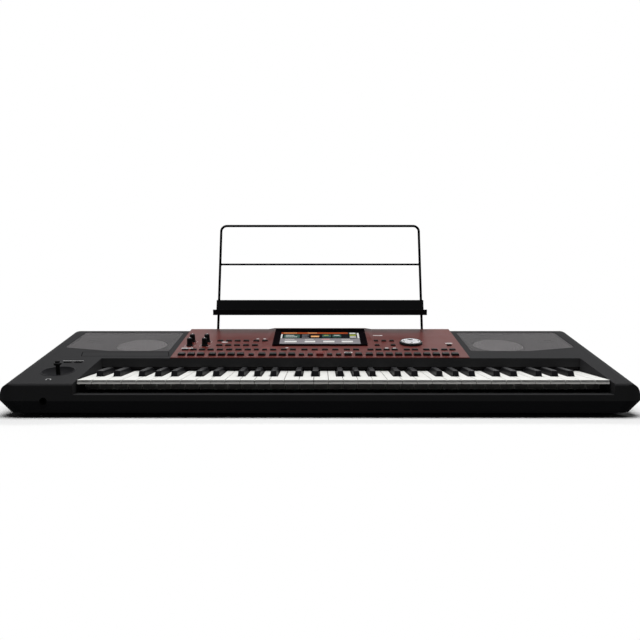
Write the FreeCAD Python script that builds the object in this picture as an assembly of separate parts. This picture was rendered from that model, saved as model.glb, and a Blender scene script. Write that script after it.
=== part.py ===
"""Arranger keyboard with sixty-one keys, twin speakers, a sloped control panel and a lift-out music stand.

All sizes are millimetres and degrees. +X runs to the player's right, +Y away from the player, +Z up.
The origin is under the middle of the footprint, on the surface that the feet stand on.
Distances called "setback" are measured along +Y from the front face of the case.
"""
import FreeCAD
import Part
import math
import os
from FreeCAD import Placement, Rotation, Vector

# Keys set the width of the case, with a cheek at each side
WHITE_PITCH = 23.5
WHITE_COUNT = 36
LEFT_CHEEK = 129.0
RIGHT_CHEEK = 55.0
CASE_WIDTH = LEFT_CHEEK + WHITE_PITCH * WHITE_COUNT + RIGHT_CHEEK
HALF_WIDTH = CASE_WIDTH / 2
KEYS_LEFT = LEFT_CHEEK - HALF_WIDTH
KEYS_RIGHT = KEYS_LEFT + WHITE_PITCH * WHITE_COUNT

# Heights and form of the case
FOOT_HEIGHT = 8.0
SEAM_HEIGHT = 27.0
CHEEK_HEIGHT = 54.0
REAR_BEVEL_DROP = 13.0
SHOULDER_RADIUS = 22.0
SHOULDER_LEAN = 25.0
SHOULDER_INSET = 9.0
SHOULDER_FLARE = 0.0274
SHOULDER_REACH = 60.0
FRONT_EDGE_RADIUS = 4.0
FRONT_CORNER_RADIUS = 35.0
REAR_CORNER_RADIUS = 18.0
SIDE_UNDERCUT = 19.0
END_UNDERCUT = 3.0
WALL = 3.0

# Gaps between pieces: free ones, and those of pieces that seat on each other
FIT = 0.3
TOUCH = 0.05

# Keyboard opening
WELL_MARGIN = 1.5
RAIL_HEIGHT = 37.0
RAIL_SHELF = 30.0
FASCIA_FOOT = 66.0
WELL_LEFT = KEYS_LEFT - WELL_MARGIN
WELL_RIGHT = KEYS_RIGHT + WELL_MARGIN

# Keys
WHITE_TOP = 58.5
WHITE_PLATE = 3.0
LIP_HEIGHT = 6.5
LIP_DEPTH = 3.0
LIP_UNDERCUT = 1.0
KEY_GAP = 1.0
WHITE_BODY_SETBACK = 42.0
WHITE_BODY_FOOT = 42.0
WHITE_APRON_FOOT = 38.2
BLACK_SETBACK = 50.0
BLACK_RISE = 9.5
BLACK_TUCK = 5.0
BLACK_TOP_LENGTH = 62.0
BLACK_DRAFT = 1.0
BLACK_FRONT_RAKE = 4.0
BLACK_FOOT = 44.0
KEY_SKIRT = 1.6
KEY_TAIL = 62.0
PIVOT_DROP = 8.5
PIVOT_RADIUS = 2.0
PIVOT_CLEARANCE = 0.1
PIVOT_BLOCK_WIDTH = 0.3 * WHITE_PITCH
PIVOT_BLOCK_HALF = 6.0
PIVOT_BLOCK_BELOW = 5.0
PIVOT_HEIGHT = WHITE_TOP - PIVOT_DROP
PIVOT_BLOCK_FOOT = PIVOT_HEIGHT - PIVOT_BLOCK_BELOW
KEY_DIP = 10.0
ACTUATOR_FROM_LIP = 114.0
ACTUATOR_WIDTH = 4.0
ACTUATOR_LENGTH = 6.0

# Key frame and what it carries
FRAME_SHEET = 2.5
FRAME_REACH = 13.0
FRAME_TAIL = 4.0
FRAME_FLOOR = SEAM_HEIGHT + FRAME_SHEET
RIB_WIDTH = 3.0
GUIDE_WIDTH = 4.0
GUIDE_LENGTH = 8.0
SPRING_WIDTH = 4.0
SPRING_SHEET = 0.4
BOARD_SHEET = 1.6
RUBBER_SHEET = 2.0
DOME_RADIUS = 3.2
FELT_LENGTH = 8.0
FELT_BEHIND_APRON = 1.5
DUST_FELT_INSET = 0.5
DUST_FELT_SHEET = 2.0
DUST_FELT_GAP = 3.1

# Display: the screen, the black border round it and the plinth that it lies on
LCD_WIDTH = 154.1
LCD_LENGTH = 85.9
LCD_DEPTH = 5.0
LCD_SIDE = 12.95
LCD_FRONT = 9.0
LCD_REAR = 25.1
BEZEL_SHEET = 3.0
BEZEL_CORNER_RADIUS = 2.0
GLASS_EDGE = 3.0
GLASS_SHEET = 1.2
PLINTH_EDGE = 3.0
PLINTH_FLARE = 16.0
PLINTH_RISE = 2.2
BEZEL_WIDTH = LCD_WIDTH + 2 * LCD_SIDE
BEZEL_LENGTH = LCD_FRONT + LCD_LENGTH + LCD_REAR
PLINTH_HALF_WIDTH = BEZEL_WIDTH / 2 + PLINTH_EDGE

# Push buttons: width, length and height above the panel
PAD_SIZE = (13.0, 11.0, 4.0)
FLAT_SIZE = (11.6, 6.6, 2.5)
SMALL_SIZE = (9.0, 6.6, 2.5)
ROUND_RADIUS = 4.8
ROUND_HEIGHT = 3.2
BUTTON_DRAFT = 0.6
BUTTON_FLANGE = 1.0
FLANGE_SHEET = 1.2
BUTTON_TRAVEL = 1.0
TACT_SIZE = 6.0
TACT_HEIGHT = 3.0

# Panel width: the display with a block of columns at each side of it
PAD_GAP = 3.9
SIDE_COLUMNS = 10
PANEL_MARGIN = 6.5
COLUMN = PAD_SIZE[0] + PAD_GAP
SIDE_WIDTH = SIDE_COLUMNS * COLUMN + PANEL_MARGIN
PANEL_WIDTH = BEZEL_WIDTH + 2 * SIDE_WIDTH

# Panel length: rows of buttons with bands for labels between them, then the display
PAD_ROW = 11.0
SECOND_BAND = 26.3
THIRD_BAND = 25.6
FOURTH_BAND = 26.4
BEZEL_BAND = 25.1
BEZEL_BEHIND = 16.43
SECOND_ROW = PAD_ROW + PAD_SIZE[1] + SECOND_BAND
THIRD_ROW = SECOND_ROW + FLAT_SIZE[1] + THIRD_BAND
FOURTH_ROW = THIRD_ROW + FLAT_SIZE[1] + FOURTH_BAND
BEZEL_START = SECOND_ROW + FLAT_SIZE[1] + BEZEL_BAND
DECK_RUN = BEZEL_START + BEZEL_LENGTH + BEZEL_BEHIND

# Each run of buttons is the first one's column, the number of buttons and the gap between them
# Columns are counted from the middle of the panel, and in the side blocks from the display's edge
PAD_RUNS = [(-14.71, 3, 4.2), (-11.45, 4, PAD_GAP), (-6.18, 1, 0), (-5.01, 3, PAD_GAP), (2.98, 3, 6.2),
            (6.36, 9, PAD_GAP)]
ROUND_RUNS = [(-7.31, 1, 0), (-1.976, 2, 6.4), (1.024, 2, 6.4)]
START_RUNS = [(0, 1, 0)]
SECOND_RUNS = [(-14.71, 4, 4.0), (-10.92, 4, 5.5), (-5.107, 1, 0), (-3.935, 2, 4.9), (-1.698, 4, 7.4),
               (2.935, 2, 5.3), (5.497, 4, 3.3), (9.473, 2, 3.3), (11.6, 2, 3.4), (13.56, 2, 3.2)]
SECOND_SMALL_RUNS = [(-6.935, 2, 6.0)]
STYLE_THIRD_RUNS = [(-5.915, 5, 5.2)]
STYLE_FOURTH_RUNS = [(-6.06, 4, 5.1), (-1.953, 2, 5.2)]
MENU_THIRD_RUNS = [(1.065, 2, 21.2), (9.095, 1, 0)]
MENU_FOURTH_RUNS = [(1.065, 3, 6.1)]

# Depth of the case, from front to rear
KEY_SETBACK = 16.0
KEY_LENGTH = 136.0
DECK_SLOPE = 10.2
REAR_BEVEL_RUN = 13.0
DECK_COS = math.cos(math.radians(DECK_SLOPE))
PANEL_RUN = DECK_RUN * DECK_COS
FASCIA_SETBACK = KEY_SETBACK + KEY_LENGTH
CREST_SETBACK = FASCIA_SETBACK + PANEL_RUN
CASE_DEPTH = CREST_SETBACK + REAR_BEVEL_RUN

# Keys that depend on the depth
BLACK_LENGTH = KEY_LENGTH - BLACK_SETBACK + BLACK_TUCK
PIVOT_FROM_LIP = KEY_LENGTH + KEY_TAIL
PIVOT_SETBACK = KEY_SETBACK + PIVOT_FROM_LIP
ACTUATOR_SETBACK = KEY_SETBACK + ACTUATOR_FROM_LIP
FRAME_FRONT_SETBACK = KEY_SETBACK + WHITE_BODY_SETBACK - FRAME_REACH

# Control panel
PANEL_LIFT_FRONT = 1.5
PANEL_LIFT_REAR = 4.1
PANEL_PLATE = 2.0
PANEL_SKIRT = 2.5
PANEL_RIM = 6.0


def deck_height(setback, under=0.0):
    """Z of the deck, or of a plane that far under it, at a setback."""
    slope = math.radians(DECK_SLOPE)
    return CHEEK_HEIGHT + math.tan(slope) * setback - under / math.cos(slope)


CREST_Z = deck_height(CREST_SETBACK)
BEVEL_TAN = REAR_BEVEL_DROP / REAR_BEVEL_RUN
REAR_WALL_TOP = CREST_Z - REAR_BEVEL_DROP
PANEL_FRONT_Z = deck_height(FASCIA_SETBACK) + PANEL_LIFT_FRONT
PANEL_REAR_Z = CREST_Z + PANEL_LIFT_REAR
PANEL_SLOPE = math.degrees(math.atan2(PANEL_REAR_Z - PANEL_FRONT_Z, PANEL_RUN))
PANEL_LENGTH = PANEL_RUN / math.cos(math.radians(PANEL_SLOPE))
PLINTH_SLOPE = math.degrees(math.atan2(PLINTH_RISE, PANEL_LENGTH - BEZEL_START))

# Knobs and dial, in the side blocks
KNOB_COLUMNS = (-9.175, -7.515)
KNOB_BEHIND_ROW = 0.5
KNOB_PITCH = 30.0
KNOB_RADIUS = 5.3
KNOB_HEIGHT = 15.0
KNOB_SKIRT_RADIUS = 6.2
KNOB_SKIRT_HEIGHT = 2.5
KNOB_LIFT = 0.6
KNOB_FLUTES = 12
SHAFT_RADIUS = 3.0
SHAFT_CLEARANCE = 0.05
POT_SIZE = 10.0
POT_HEIGHT = 4.0
DIAL_COLUMN = 4.915
DIAL_BEHIND_ROW = 17.0
DIAL_RADIUS = 22.0
DIAL_STEP = 2.0
DIAL_HEIGHT = 5.5
DIAL_DIMPLE_RADIUS = 5.8
DIAL_DIMPLE_EDGE = 2.2
DIAL_DIMPLE_DEPTH = 1.6
KNOB_ROWS = (THIRD_ROW + KNOB_BEHIND_ROW, THIRD_ROW + KNOB_BEHIND_ROW + KNOB_PITCH)
DIAL_X = BEZEL_WIDTH / 2 + DIAL_COLUMN * COLUMN
DIAL_ROW = THIRD_ROW + DIAL_BEHIND_ROW
DIAL_FACE_RADIUS = DIAL_RADIUS - DIAL_STEP
DIAL_DIMPLE_OFFSET = DIAL_FACE_RADIUS - DIAL_DIMPLE_RADIUS - DIAL_DIMPLE_EDGE

# Joystick and its two switches, placed on the left cheek's deck
STICK_FROM_KEYS = 49.3
STICK_ALONG = 72.6
BOWL_RADIUS = 28.0
BOWL_DEPTH = 13.0
BOWL_WALL = 2.0
BOWL_HOLE = 10.5
STICK_PIVOT_DEPTH = 24.0
STICK_RADIUS = 3.6
STICK_RISE = 18.4
STICK_COLLAR_RADIUS = 6.5
GIMBAL_HALF = 11.0
GIMBAL_WINDOW = 7.5
GIMBAL_THICK = 8.0
STICK_PIN_RADIUS = 1.8
GIMBAL_PIN_RADIUS = 2.0
BRACKET_SHEET = 4.0
BRACKET_GAP = 2.0
SWITCH_SIZE = (13.6, 6.6, 2.2)
SWITCH_GAP = 4.4
SWITCH_SHIFT = 2.5
SWITCH_ALONG = 128.0
STICK_X = KEYS_LEFT - STICK_FROM_KEYS
SWITCH_X = (STICK_X - SWITCH_SHIFT, STICK_X - SWITCH_SHIFT + SWITCH_SIZE[0] + SWITCH_GAP)

# Speakers, placed on the deck and mirrored left to right
GRILLE_BESIDE_PANEL = 13.5
GRILLE_FROM_SIDE = 36.0
GRILLE_BEHIND_FASCIA = 52.645
GRILLE_TAPER = 27.0
GRILLE_BEFORE_CREST = 12.85
GRILLE_INNER_X = PANEL_WIDTH / 2 + GRILLE_BESIDE_PANEL
GRILLE_OUTER_X = HALF_WIDTH - GRILLE_FROM_SIDE
GRILLE_WIDTH = GRILLE_OUTER_X - GRILLE_INNER_X
GRILLE_BEND_X = GRILLE_INNER_X + 0.54 * GRILLE_WIDTH
GRILLE_FRONT = FASCIA_SETBACK / DECK_COS + GRILLE_BEHIND_FASCIA
GRILLE_TIP = GRILLE_FRONT + GRILLE_TAPER
GRILLE_REAR = CREST_SETBACK / DECK_COS - GRILLE_BEFORE_CREST
GRILLE_LENGTH = GRILLE_REAR - GRILLE_FRONT
GRILLE_CORNER_RADIUS = 6.0
GRILLE_SHEET = 1.2
GRILLE_DROP = 0.4
PAN_DEPTH = 4.0
PAN_FLOOR = 2.5
BAFFLE_UNDER = -PAN_DEPTH - PAN_FLOOR
WOOFER_X = GRILLE_INNER_X + 0.315 * GRILLE_WIDTH
WOOFER_ALONG = GRILLE_FRONT + 0.385 * GRILLE_LENGTH
WOOFER_HOLE = min(0.24 * GRILLE_WIDTH, 0.318 * GRILLE_LENGTH)
WOOFER_FLANGE = 9.0
WOOFER_NECK = 0.52 * WOOFER_HOLE
WOOFER_DEPTH = 27.0
MAGNET_RADIUS = 0.54 * WOOFER_HOLE
MAGNET_HEIGHT = 14.0
CONE_SHEET = 0.8
TWEETER_X = GRILLE_OUTER_X - 0.18 * GRILLE_WIDTH
TWEETER_ALONG = GRILLE_FRONT + 0.6 * GRILLE_LENGTH
TWEETER_RADIUS = 17.0
TWEETER_DEPTH = 18.0

# Music stand
STAND_INSET = 51.5
STAND_WIDTH = PANEL_WIDTH - 2 * STAND_INSET
STAND_LEAN = 14.5
WIRE_RADIUS = 2.5
SOCKET_BEHIND_CREST = 5.0
SOCKET_LENGTH = 32.0
SOCKET_RADIUS = 5.0
SOCKET_CLEARANCE = 0.1
LEG_INSERT = 28.0
STAND_RISE = 235.0
STAND_CORNER_RADIUS = 12.0
CROSSBAR_DROP = 86.0
CROSSBAR_RADIUS = 2.0
LEDGE_OVERHANG = 2.0
LEDGE_RISE = 39.35
LEDGE_BACK = 31.0
LEDGE_SHELF = 44.0
LEDGE_DROP = 11.4
LEDGE_LIP = 10.5
LEDGE_FLARE = 4.0
LEDGE_SHEET = 1.5
SOCKET_SETBACK = CREST_SETBACK + SOCKET_BEHIND_CREST
SOCKET_Z = CREST_Z - SOCKET_BEHIND_CREST * BEVEL_TAN
LEG_X = STAND_WIDTH / 2 - WIRE_RADIUS
LEDGE_WIDTH = STAND_WIDTH + 2 * LEDGE_OVERHANG
CROSSBAR_RISE = STAND_RISE - CROSSBAR_DROP

# Rear panel, with a bay that the connectors' flanges fill side by side
REAR_PANEL_EDGE = 8.0
REAR_PANEL_HALF = HALF_WIDTH - REAR_CORNER_RADIUS - REAR_PANEL_EDGE
REAR_PANEL_LAP = 3.0
BAY_LEFT = -64.0
BAY_FOOT = 28.5
BAY_HEAD = 57.0
CELL_GAP = 0.1
FLANGE_DROP = 1.0
CELL_FLANGE = 2.0
INLET_CELL = 62.0
INLET_X = BAY_LEFT + 24.0
INLET_SIZE = (25.0, 17.0)
INLET_WALL = 2.0
INLET_DEPTH = 16.0
POWER_X = BAY_LEFT + 51.0
POWER_SIZE = (14.0, 10.0)
POWER_RISE = 3.0
POWER_SLIDE = 2.0
USB_CELL = 29.0
USB_SIZES = [(8.6, 7.9), (12.5, 5.2)]
USB_SHELL = 0.8
USB_DEPTH = 14.0
MIDI_CELL = 28.0
MIDI_COUNT = 2
MIDI_RADIUS = 9.0
JACK_CELL = 19.0
JACK_COUNT = 4
JACK_HEIGHT = 34.5
JACK_BORE = 3.2
JACK_BORE_DEPTH = 20.0
JACK_BEZEL = 5.2
JACK_PROUD = 0.8
JACK_BODY = 14.0
USB_LEFT = BAY_LEFT + INLET_CELL
MIDI_LEFT = USB_LEFT + USB_CELL * len(USB_SIZES)
JACK_LEFT = MIDI_LEFT + MIDI_CELL * MIDI_COUNT
BAY_RIGHT = JACK_LEFT + JACK_CELL * JACK_COUNT
BAY_MIDDLE = (BAY_FOOT + BAY_HEAD) / 2

# Headphone socket in the front seam
PHONES_FROM_KEYS = 47.5
PHONES_X = KEYS_LEFT - PHONES_FROM_KEYS
PHONES_NECK = 4.6
PHONES_BEZEL = 5.6
PHONES_PROUD = 0.4

# Feet, screws and inner modules
FOOT_RADIUS = 9.0
FOOT_TOE = 6.5
FOOT_FROM_SIDE = 63.0
FOOT_FRONT_SETBACK = 48.0
FOOT_FROM_REAR = 38.0
MIDDLE_FOOT_X = 25.0
SCREW_FROM_SIDE = 45.0
SCREW_LEFT_X = -150.0
SCREW_RIGHT_X = 230.0
SCREW_BOSS_RADIUS = 4.5
SCREW_RADIUS = 1.5
SCREW_HEAD_RADIUS = 3.2
SCREW_HEAD_HEIGHT = 2.0
SCREW_BITE = 9.0
MAIN_BOARD = (260.0, 90.0)
MAIN_BOARD_X = 70.0
MAIN_BOARD_BEFORE_CREST = 24.0
STANDOFF = 5.0
SUPPLY = (110.0, 65.0, 32.0)
SUPPLY_X = -250.0
SUPPLY_BEFORE_CREST = 14.5
FOOT_X = HALF_WIDTH - FOOT_FROM_SIDE
FOOT_REAR_SETBACK = CASE_DEPTH - FOOT_FROM_REAR
SCREW_XS = (SCREW_FROM_SIDE - HALF_WIDTH, SCREW_LEFT_X, SCREW_RIGHT_X, HALF_WIDTH - SCREW_FROM_SIDE)
MAIN_BOARD_SETBACK = CREST_SETBACK - MAIN_BOARD_BEFORE_CREST - MAIN_BOARD[1]
SUPPLY_SETBACK = CREST_SETBACK - SUPPLY_BEFORE_CREST - SUPPLY[1]

# Worked-out places
LEAN_SIN = math.sin(math.radians(STAND_LEAN))
OVERALL_DEPTH = SOCKET_SETBACK + STAND_RISE * LEAN_SIN + WIRE_RADIUS
Y_FRONT = (PHONES_PROUD - OVERALL_DEPTH) / 2
FLOOR_TOP = FOOT_HEIGHT + WALL
FLANGE_TOP = -PANEL_PLATE - FIT
FLANGE_FOOT = FLANGE_TOP - FLANGE_SHEET
TACT_TOP = FLANGE_FOOT - BUTTON_TRAVEL - FIT
BOARD_TOP = TACT_TOP - TACT_HEIGHT
BOARD_FOOT = BOARD_TOP - BOARD_SHEET
SWITCH_SINK = PANEL_PLATE - WALL
FAR = 2.0 * CASE_WIDTH

X_AXIS = Vector(1, 0, 0)
Z_AXIS = Vector(0, 0, 1)


def at(setback):
    """Y of a point that far behind the front face."""
    return Y_FRONT + setback


# Local frames: u runs along X, v up the slope and w out of the surface
DECK = Placement(Vector(0, Y_FRONT, CHEEK_HEIGHT), Rotation(X_AXIS, DECK_SLOPE))
PANEL = Placement(Vector(0, at(FASCIA_SETBACK), PANEL_FRONT_Z), Rotation(X_AXIS, PANEL_SLOPE))
STAND = Placement(Vector(0, at(SOCKET_SETBACK), SOCKET_Z), Rotation(X_AXIS, -STAND_LEAN))
DISPLAY = PANEL.multiply(Placement(Vector(0, BEZEL_START, 0), Rotation(X_AXIS, PLINTH_SLOPE)))


# Building blocks
def block(x0, x1, y0, y1, z0, z1):
    """A box between two corners."""
    return Part.makeBox(x1 - x0, y1 - y0, z1 - z0, Vector(x0, y0, z0))


def prism(points, along):
    """A closed outline of points pushed along a vector."""
    corners = [Vector(*p) for p in points]
    return Part.Face(Part.makePolygon(corners + corners[:1])).extrude(along)


def prism_x(outline, x0, x1):
    """A (y, z) outline pushed from x0 to x1."""
    return prism([(x0, y, z) for y, z in outline], Vector(x1 - x0, 0, 0))


def prism_y(outline, y0, y1):
    """An (x, z) outline pushed from y0 to y1."""
    return prism([(x, y0, z) for x, z in outline], Vector(0, y1 - y0, 0))


def prism_z(outline, z0, z1):
    """An (x, y) outline pushed from z0 to z1."""
    return prism([(x, y, z0) for x, y in outline], Vector(0, 0, z1 - z0))


def turned(outline):
    """An (r, z) outline spun about Z."""
    corners = [Vector(r, 0, z) for r, z in outline]
    return Part.Face(Part.makePolygon(corners + corners[:1])).revolve(Vector(), Z_AXIS, 360)


def rod(radius, start, end):
    """A round bar from one point to another."""
    start, end = Vector(*start), Vector(*end)
    return Part.makeCylinder(radius, (end - start).Length, start, end - start)


def placed(shape, frame):
    """A copy of a shape modelled in a local frame, put where that frame is."""
    copy = shape.copy()
    copy.Placement = frame.multiply(copy.Placement)
    return copy


def moved(shape, x=0.0, y=0.0, z=0.0):
    """A copy of a shape, shifted."""
    copy = shape.copy()
    copy.translate(Vector(x, y, z))
    return copy


def mirrored(shape):
    """A shape's left-to-right mirror image."""
    return shape.mirror(Vector(), X_AXIS)


def joined(first, *others):
    """One solid made of touching or overlapping ones."""
    return first.fuse(list(others)).removeSplitter()


def run_places(runs, width, beside_display=False):
    """The X of every button in a list of runs, from the panel's middle or from the display's edges."""
    places = []
    for first, count, gap in runs:
        edge = math.copysign(BEZEL_WIDTH / 2, first) if beside_display else 0
        places += [edge + first * COLUMN + i * (width + gap) for i in range(count)]
    return places


def save(name, *solids):
    """Write one node, which may be a group of separate solids."""
    flat = [s for shape in solids for s in shape.Solids]
    shape = flat[0] if len(flat) == 1 else Part.makeCompound(flat)
    shape.exportStep(os.path.join("parts", name + ".step"))


# Case shells
def rounded_outline(x_in, y_in, z):
    """The case's plan outline, drawn in by x_in at the sides and y_in at front and rear."""
    x, y0, y1 = HALF_WIDTH - x_in, Y_FRONT + y_in, Y_FRONT + CASE_DEPTH - y_in
    front, rear = FRONT_CORNER_RADIUS - min(x_in, y_in), REAR_CORNER_RADIUS - min(x_in, y_in)
    turn = math.sqrt(0.5)
    corners = [(-x, y0, front, 1, 1), (x, y0, front, -1, 1), (x, y1, rear, -1, -1), (-x, y1, rear, 1, -1)]
    edges, ends = [], []
    for i, (cx, cy, r, sx, sy) in enumerate(corners):
        beside = Vector(cx, cy + sy * r, z)
        ahead = Vector(cx + sx * r, cy, z)
        middle = Vector(cx + sx * r * (1 - turn), cy + sy * r * (1 - turn), z)
        first, last = (beside, ahead) if i % 2 == 0 else (ahead, beside)
        ends.append((first, last))
        edges.append(Part.Arc(first, middle, last).toShape())
    lines = [Part.makeLine(ends[i][1], ends[(i + 1) % 4][0]) for i in range(4)]
    return Part.Wire([e for pair in zip(edges, lines) for e in pair])


def shoulder_arch(v, inset):
    """The deck's cross-section at v: a flat top, round shoulders and sides that lean outwards below them."""
    half = HALF_WIDTH - SHOULDER_INSET + SHOULDER_FLARE * v
    radius, lean, depth = SHOULDER_RADIUS - inset, math.radians(SHOULDER_LEAN), 300.0
    hub, low = half - SHOULDER_RADIUS, -SHOULDER_RADIUS

    def spot(side, angle):
        return Vector(side * (hub + radius * math.cos(angle)), v, low + radius * math.sin(angle))
    middle, up = (math.pi / 2 + lean) / 2, math.pi / 2
    feet = [spot(side, lean) + Vector(side * depth * math.tan(lean), 0, -depth) for side in (-1, 1)]
    return Part.Wire([
        Part.makeLine(feet[0], spot(-1, lean)),
        Part.Arc(spot(-1, lean), spot(-1, middle), spot(-1, up)).toShape(),
        Part.makeLine(spot(-1, up), spot(1, up)),
        Part.Arc(spot(1, up), spot(1, middle), spot(1, lean)).toShape(),
        Part.makeLine(spot(1, lean), feet[1]),
        Part.makeLine(feet[1], feet[0])])


def upper_block(inset):
    """The solid under the deck, drawn in by a wall's thickness where inset isn't zero."""
    plan = Part.Face(rounded_outline(inset, inset, 0)).extrude(Vector(0, 0, FAR))
    crest = CREST_SETBACK - inset * (1 - DECK_COS) / DECK_COS
    crest_z = deck_height(crest, inset)
    rear = CASE_DEPTH - inset
    profile = [(at(inset), -FAR), (at(inset), deck_height(inset, inset)), (at(crest), crest_z),
               (at(rear), crest_z - (rear - crest) * BEVEL_TAN), (at(rear), -FAR)]
    side = prism_x(profile, -FAR, FAR)
    if inset == 0:
        front_edge = [e for e in side.Edges if e.BoundBox.YLength < TOUCH and e.BoundBox.YMin < at(1.0)
                      and e.BoundBox.ZLength < TOUCH and e.BoundBox.ZMin > 0]
        side = side.makeFillet(FRONT_EDGE_RADIUS, front_edge)
    ends = (-SHOULDER_REACH, CASE_DEPTH + SHOULDER_REACH)
    section = Part.makeLoft([shoulder_arch(v, inset) for v in ends], True, True)
    return plan.common(side).common(placed(section, DECK))


def grille_outline(grow):
    """The left speaker grille's outline on the deck, as (u, v), made larger by grow."""
    return [(-GRILLE_INNER_X + grow, GRILLE_FRONT - grow), (-GRILLE_BEND_X, GRILLE_FRONT - grow),
            (-GRILLE_OUTER_X - grow, GRILLE_TIP - grow), (-GRILLE_OUTER_X - grow, GRILLE_REAR + grow),
            (-GRILLE_INNER_X + grow, GRILLE_REAR + grow)]


def grille_prism(grow, w0, w1):
    """A slab with the grille's outline and softened corners, in the deck's frame."""
    slab = prism_z(grille_outline(grow), w0, w1)
    upright = [e for e in slab.Edges if e.BoundBox.ZLength > (w1 - w0) / 2]
    return slab.makeFillet(GRILLE_CORNER_RADIUS + grow, upright)


def both_sides(shape):
    """A left-hand shape and its right-hand mirror image."""
    return [shape, mirrored(shape)]


def screw_places():
    """(x, setback) of each case screw, just inside the front and rear walls."""
    inset = WALL + SCREW_BOSS_RADIUS + END_UNDERCUT
    return [(x, setback) for x in SCREW_XS for setback in (inset, CASE_DEPTH - inset)]


def upper_boss_top(x, setback):
    """Z that an upper screw boss reaches: the rail's shelf in front of the keys, or else the deck."""
    before_keys = WELL_LEFT < x < WELL_RIGHT and setback < FASCIA_SETBACK
    return RAIL_HEIGHT - WALL / 2 if before_keys else deck_height(setback) - WALL / 2


def socket_axis_rod(radius, x, w0, w1):
    """A bar along one leg of the music stand."""
    return placed(rod(radius, (x, 0, w0), (x, 0, w1)), STAND)


def octagon(radius, grow=0.0):
    """An (x, z) octagon whose flats lie at a radius."""
    reach = (radius + grow) / math.cos(math.pi / 8)
    angles = [math.pi / 8 + i * math.pi / 4 for i in range(8)]
    return [(reach * math.cos(a), reach * math.sin(a)) for a in angles]


def phones_notch():
    """The hole for the headphone socket, half in each shell."""
    outline = [(PHONES_X + x, SEAM_HEIGHT + z) for x, z in octagon(PHONES_NECK, FIT)]
    return prism_y(outline, at(-1.0), at(WALL + END_UNDERCUT + 1.0))


def make_top_case():
    """Upper shell: both cheeks, the speaker decks, the front rail and the rear wall in one moulding."""
    outer = upper_block(0)
    above_seam = block(-FAR, FAR, -FAR, FAR, SEAM_HEIGHT, FAR)
    shell = outer.common(above_seam).cut(upper_block(WALL))
    shell = shell.cut(block(WELL_LEFT, WELL_RIGHT, at(-1.0), at(FASCIA_SETBACK), RAIL_HEIGHT, FAR))
    well_rear = FASCIA_SETBACK + WALL
    inner_walls = [
        block(WELL_LEFT - WALL, WELL_LEFT, at(0), at(well_rear), SEAM_HEIGHT, FAR),
        block(WELL_RIGHT, WELL_RIGHT + WALL, at(0), at(well_rear), SEAM_HEIGHT, FAR),
        block(WELL_LEFT - WALL, WELL_RIGHT + WALL, at(FASCIA_SETBACK), at(well_rear), FASCIA_FOOT, FAR),
        block(WELL_LEFT - WALL, WELL_RIGHT + WALL, at(0), at(RAIL_SHELF), RAIL_HEIGHT - WALL, RAIL_HEIGHT)]
    shell = joined(shell, *[outer.common(w) for w in inner_walls])
    pan = grille_prism(PAN_FLOOR, BAFFLE_UNDER, -WALL / 2)
    shell = joined(shell, *[placed(p, DECK) for p in both_sides(pan)])
    bosses = [outer.common(rod(SCREW_BOSS_RADIUS, (x, at(s), SEAM_HEIGHT), (x, at(s), upper_boss_top(x, s))))
              for x, s in screw_places()]
    board_top = BOARD_TOP + SWITCH_SINK
    posts = [placed(rod(2.0, (x, SWITCH_ALONG, board_top), (x, SWITCH_ALONG, -WALL / 2)), DECK)
             for x in switch_post_places()]
    shell = joined(shell, *bosses, *posts)
    return shell.cut(Part.makeCompound(top_case_cuts()))


def switch_post_places():
    """X of the posts that hold the small board under the joystick's switches."""
    reach = SWITCH_SIZE[0] / 2 + 2 * BUTTON_FLANGE + 2.0
    return (SWITCH_X[0] - reach, SWITCH_X[1] + reach)


def top_case_cuts():
    """Every opening through the upper shell's walls."""
    rim_front, rim_rear = (FASCIA_SETBACK + PANEL_RIM) / DECK_COS, (CREST_SETBACK - PANEL_RIM) / DECK_COS
    half = PANEL_WIDTH / 2 - PANEL_RIM
    pocket = grille_prism(FIT, -PAN_DEPTH, 2.0)
    woofer = moved(rod(WOOFER_HOLE, (0, 0, -30), (0, 0, 2)), -WOOFER_X, WOOFER_ALONG)
    tweeter = moved(rod(TWEETER_RADIUS, (0, 0, -30), (0, 0, 2)), -TWEETER_X, TWEETER_ALONG)
    on_deck = [block(-half, half, rim_front, rim_rear, -WALL - 4.0, 4.0)]
    for shape in (pocket, woofer, tweeter):
        on_deck += both_sides(shape)
    on_deck.append(moved(rod(BOWL_RADIUS + FIT, (0, 0, -WALL - 4.0), (0, 0, 4)), STICK_X, STICK_ALONG))
    width, length, _ = SWITCH_SIZE
    for x in SWITCH_X:
        on_deck.append(button_hole(x, SWITCH_ALONG, width, length))
    cuts = [placed(shape, DECK) for shape in on_deck]
    cuts.append(phones_notch())
    cuts.append(block(-REAR_PANEL_HALF, REAR_PANEL_HALF, at(CASE_DEPTH - WALL), at(CASE_DEPTH + 1.0), 0,
                      REAR_WALL_TOP - REAR_PANEL_LAP))
    cuts += [socket_axis_rod(SOCKET_RADIUS + TOUCH, x, -SOCKET_LENGTH - 5.0, 20.0) for x in (-LEG_X, LEG_X)]
    cuts += [rod(SCREW_RADIUS + TOUCH, (x, at(s), SEAM_HEIGHT - 1.0), (x, at(s), SEAM_HEIGHT + SCREW_BITE))
             for x, s in screw_places()]
    return cuts


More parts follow.
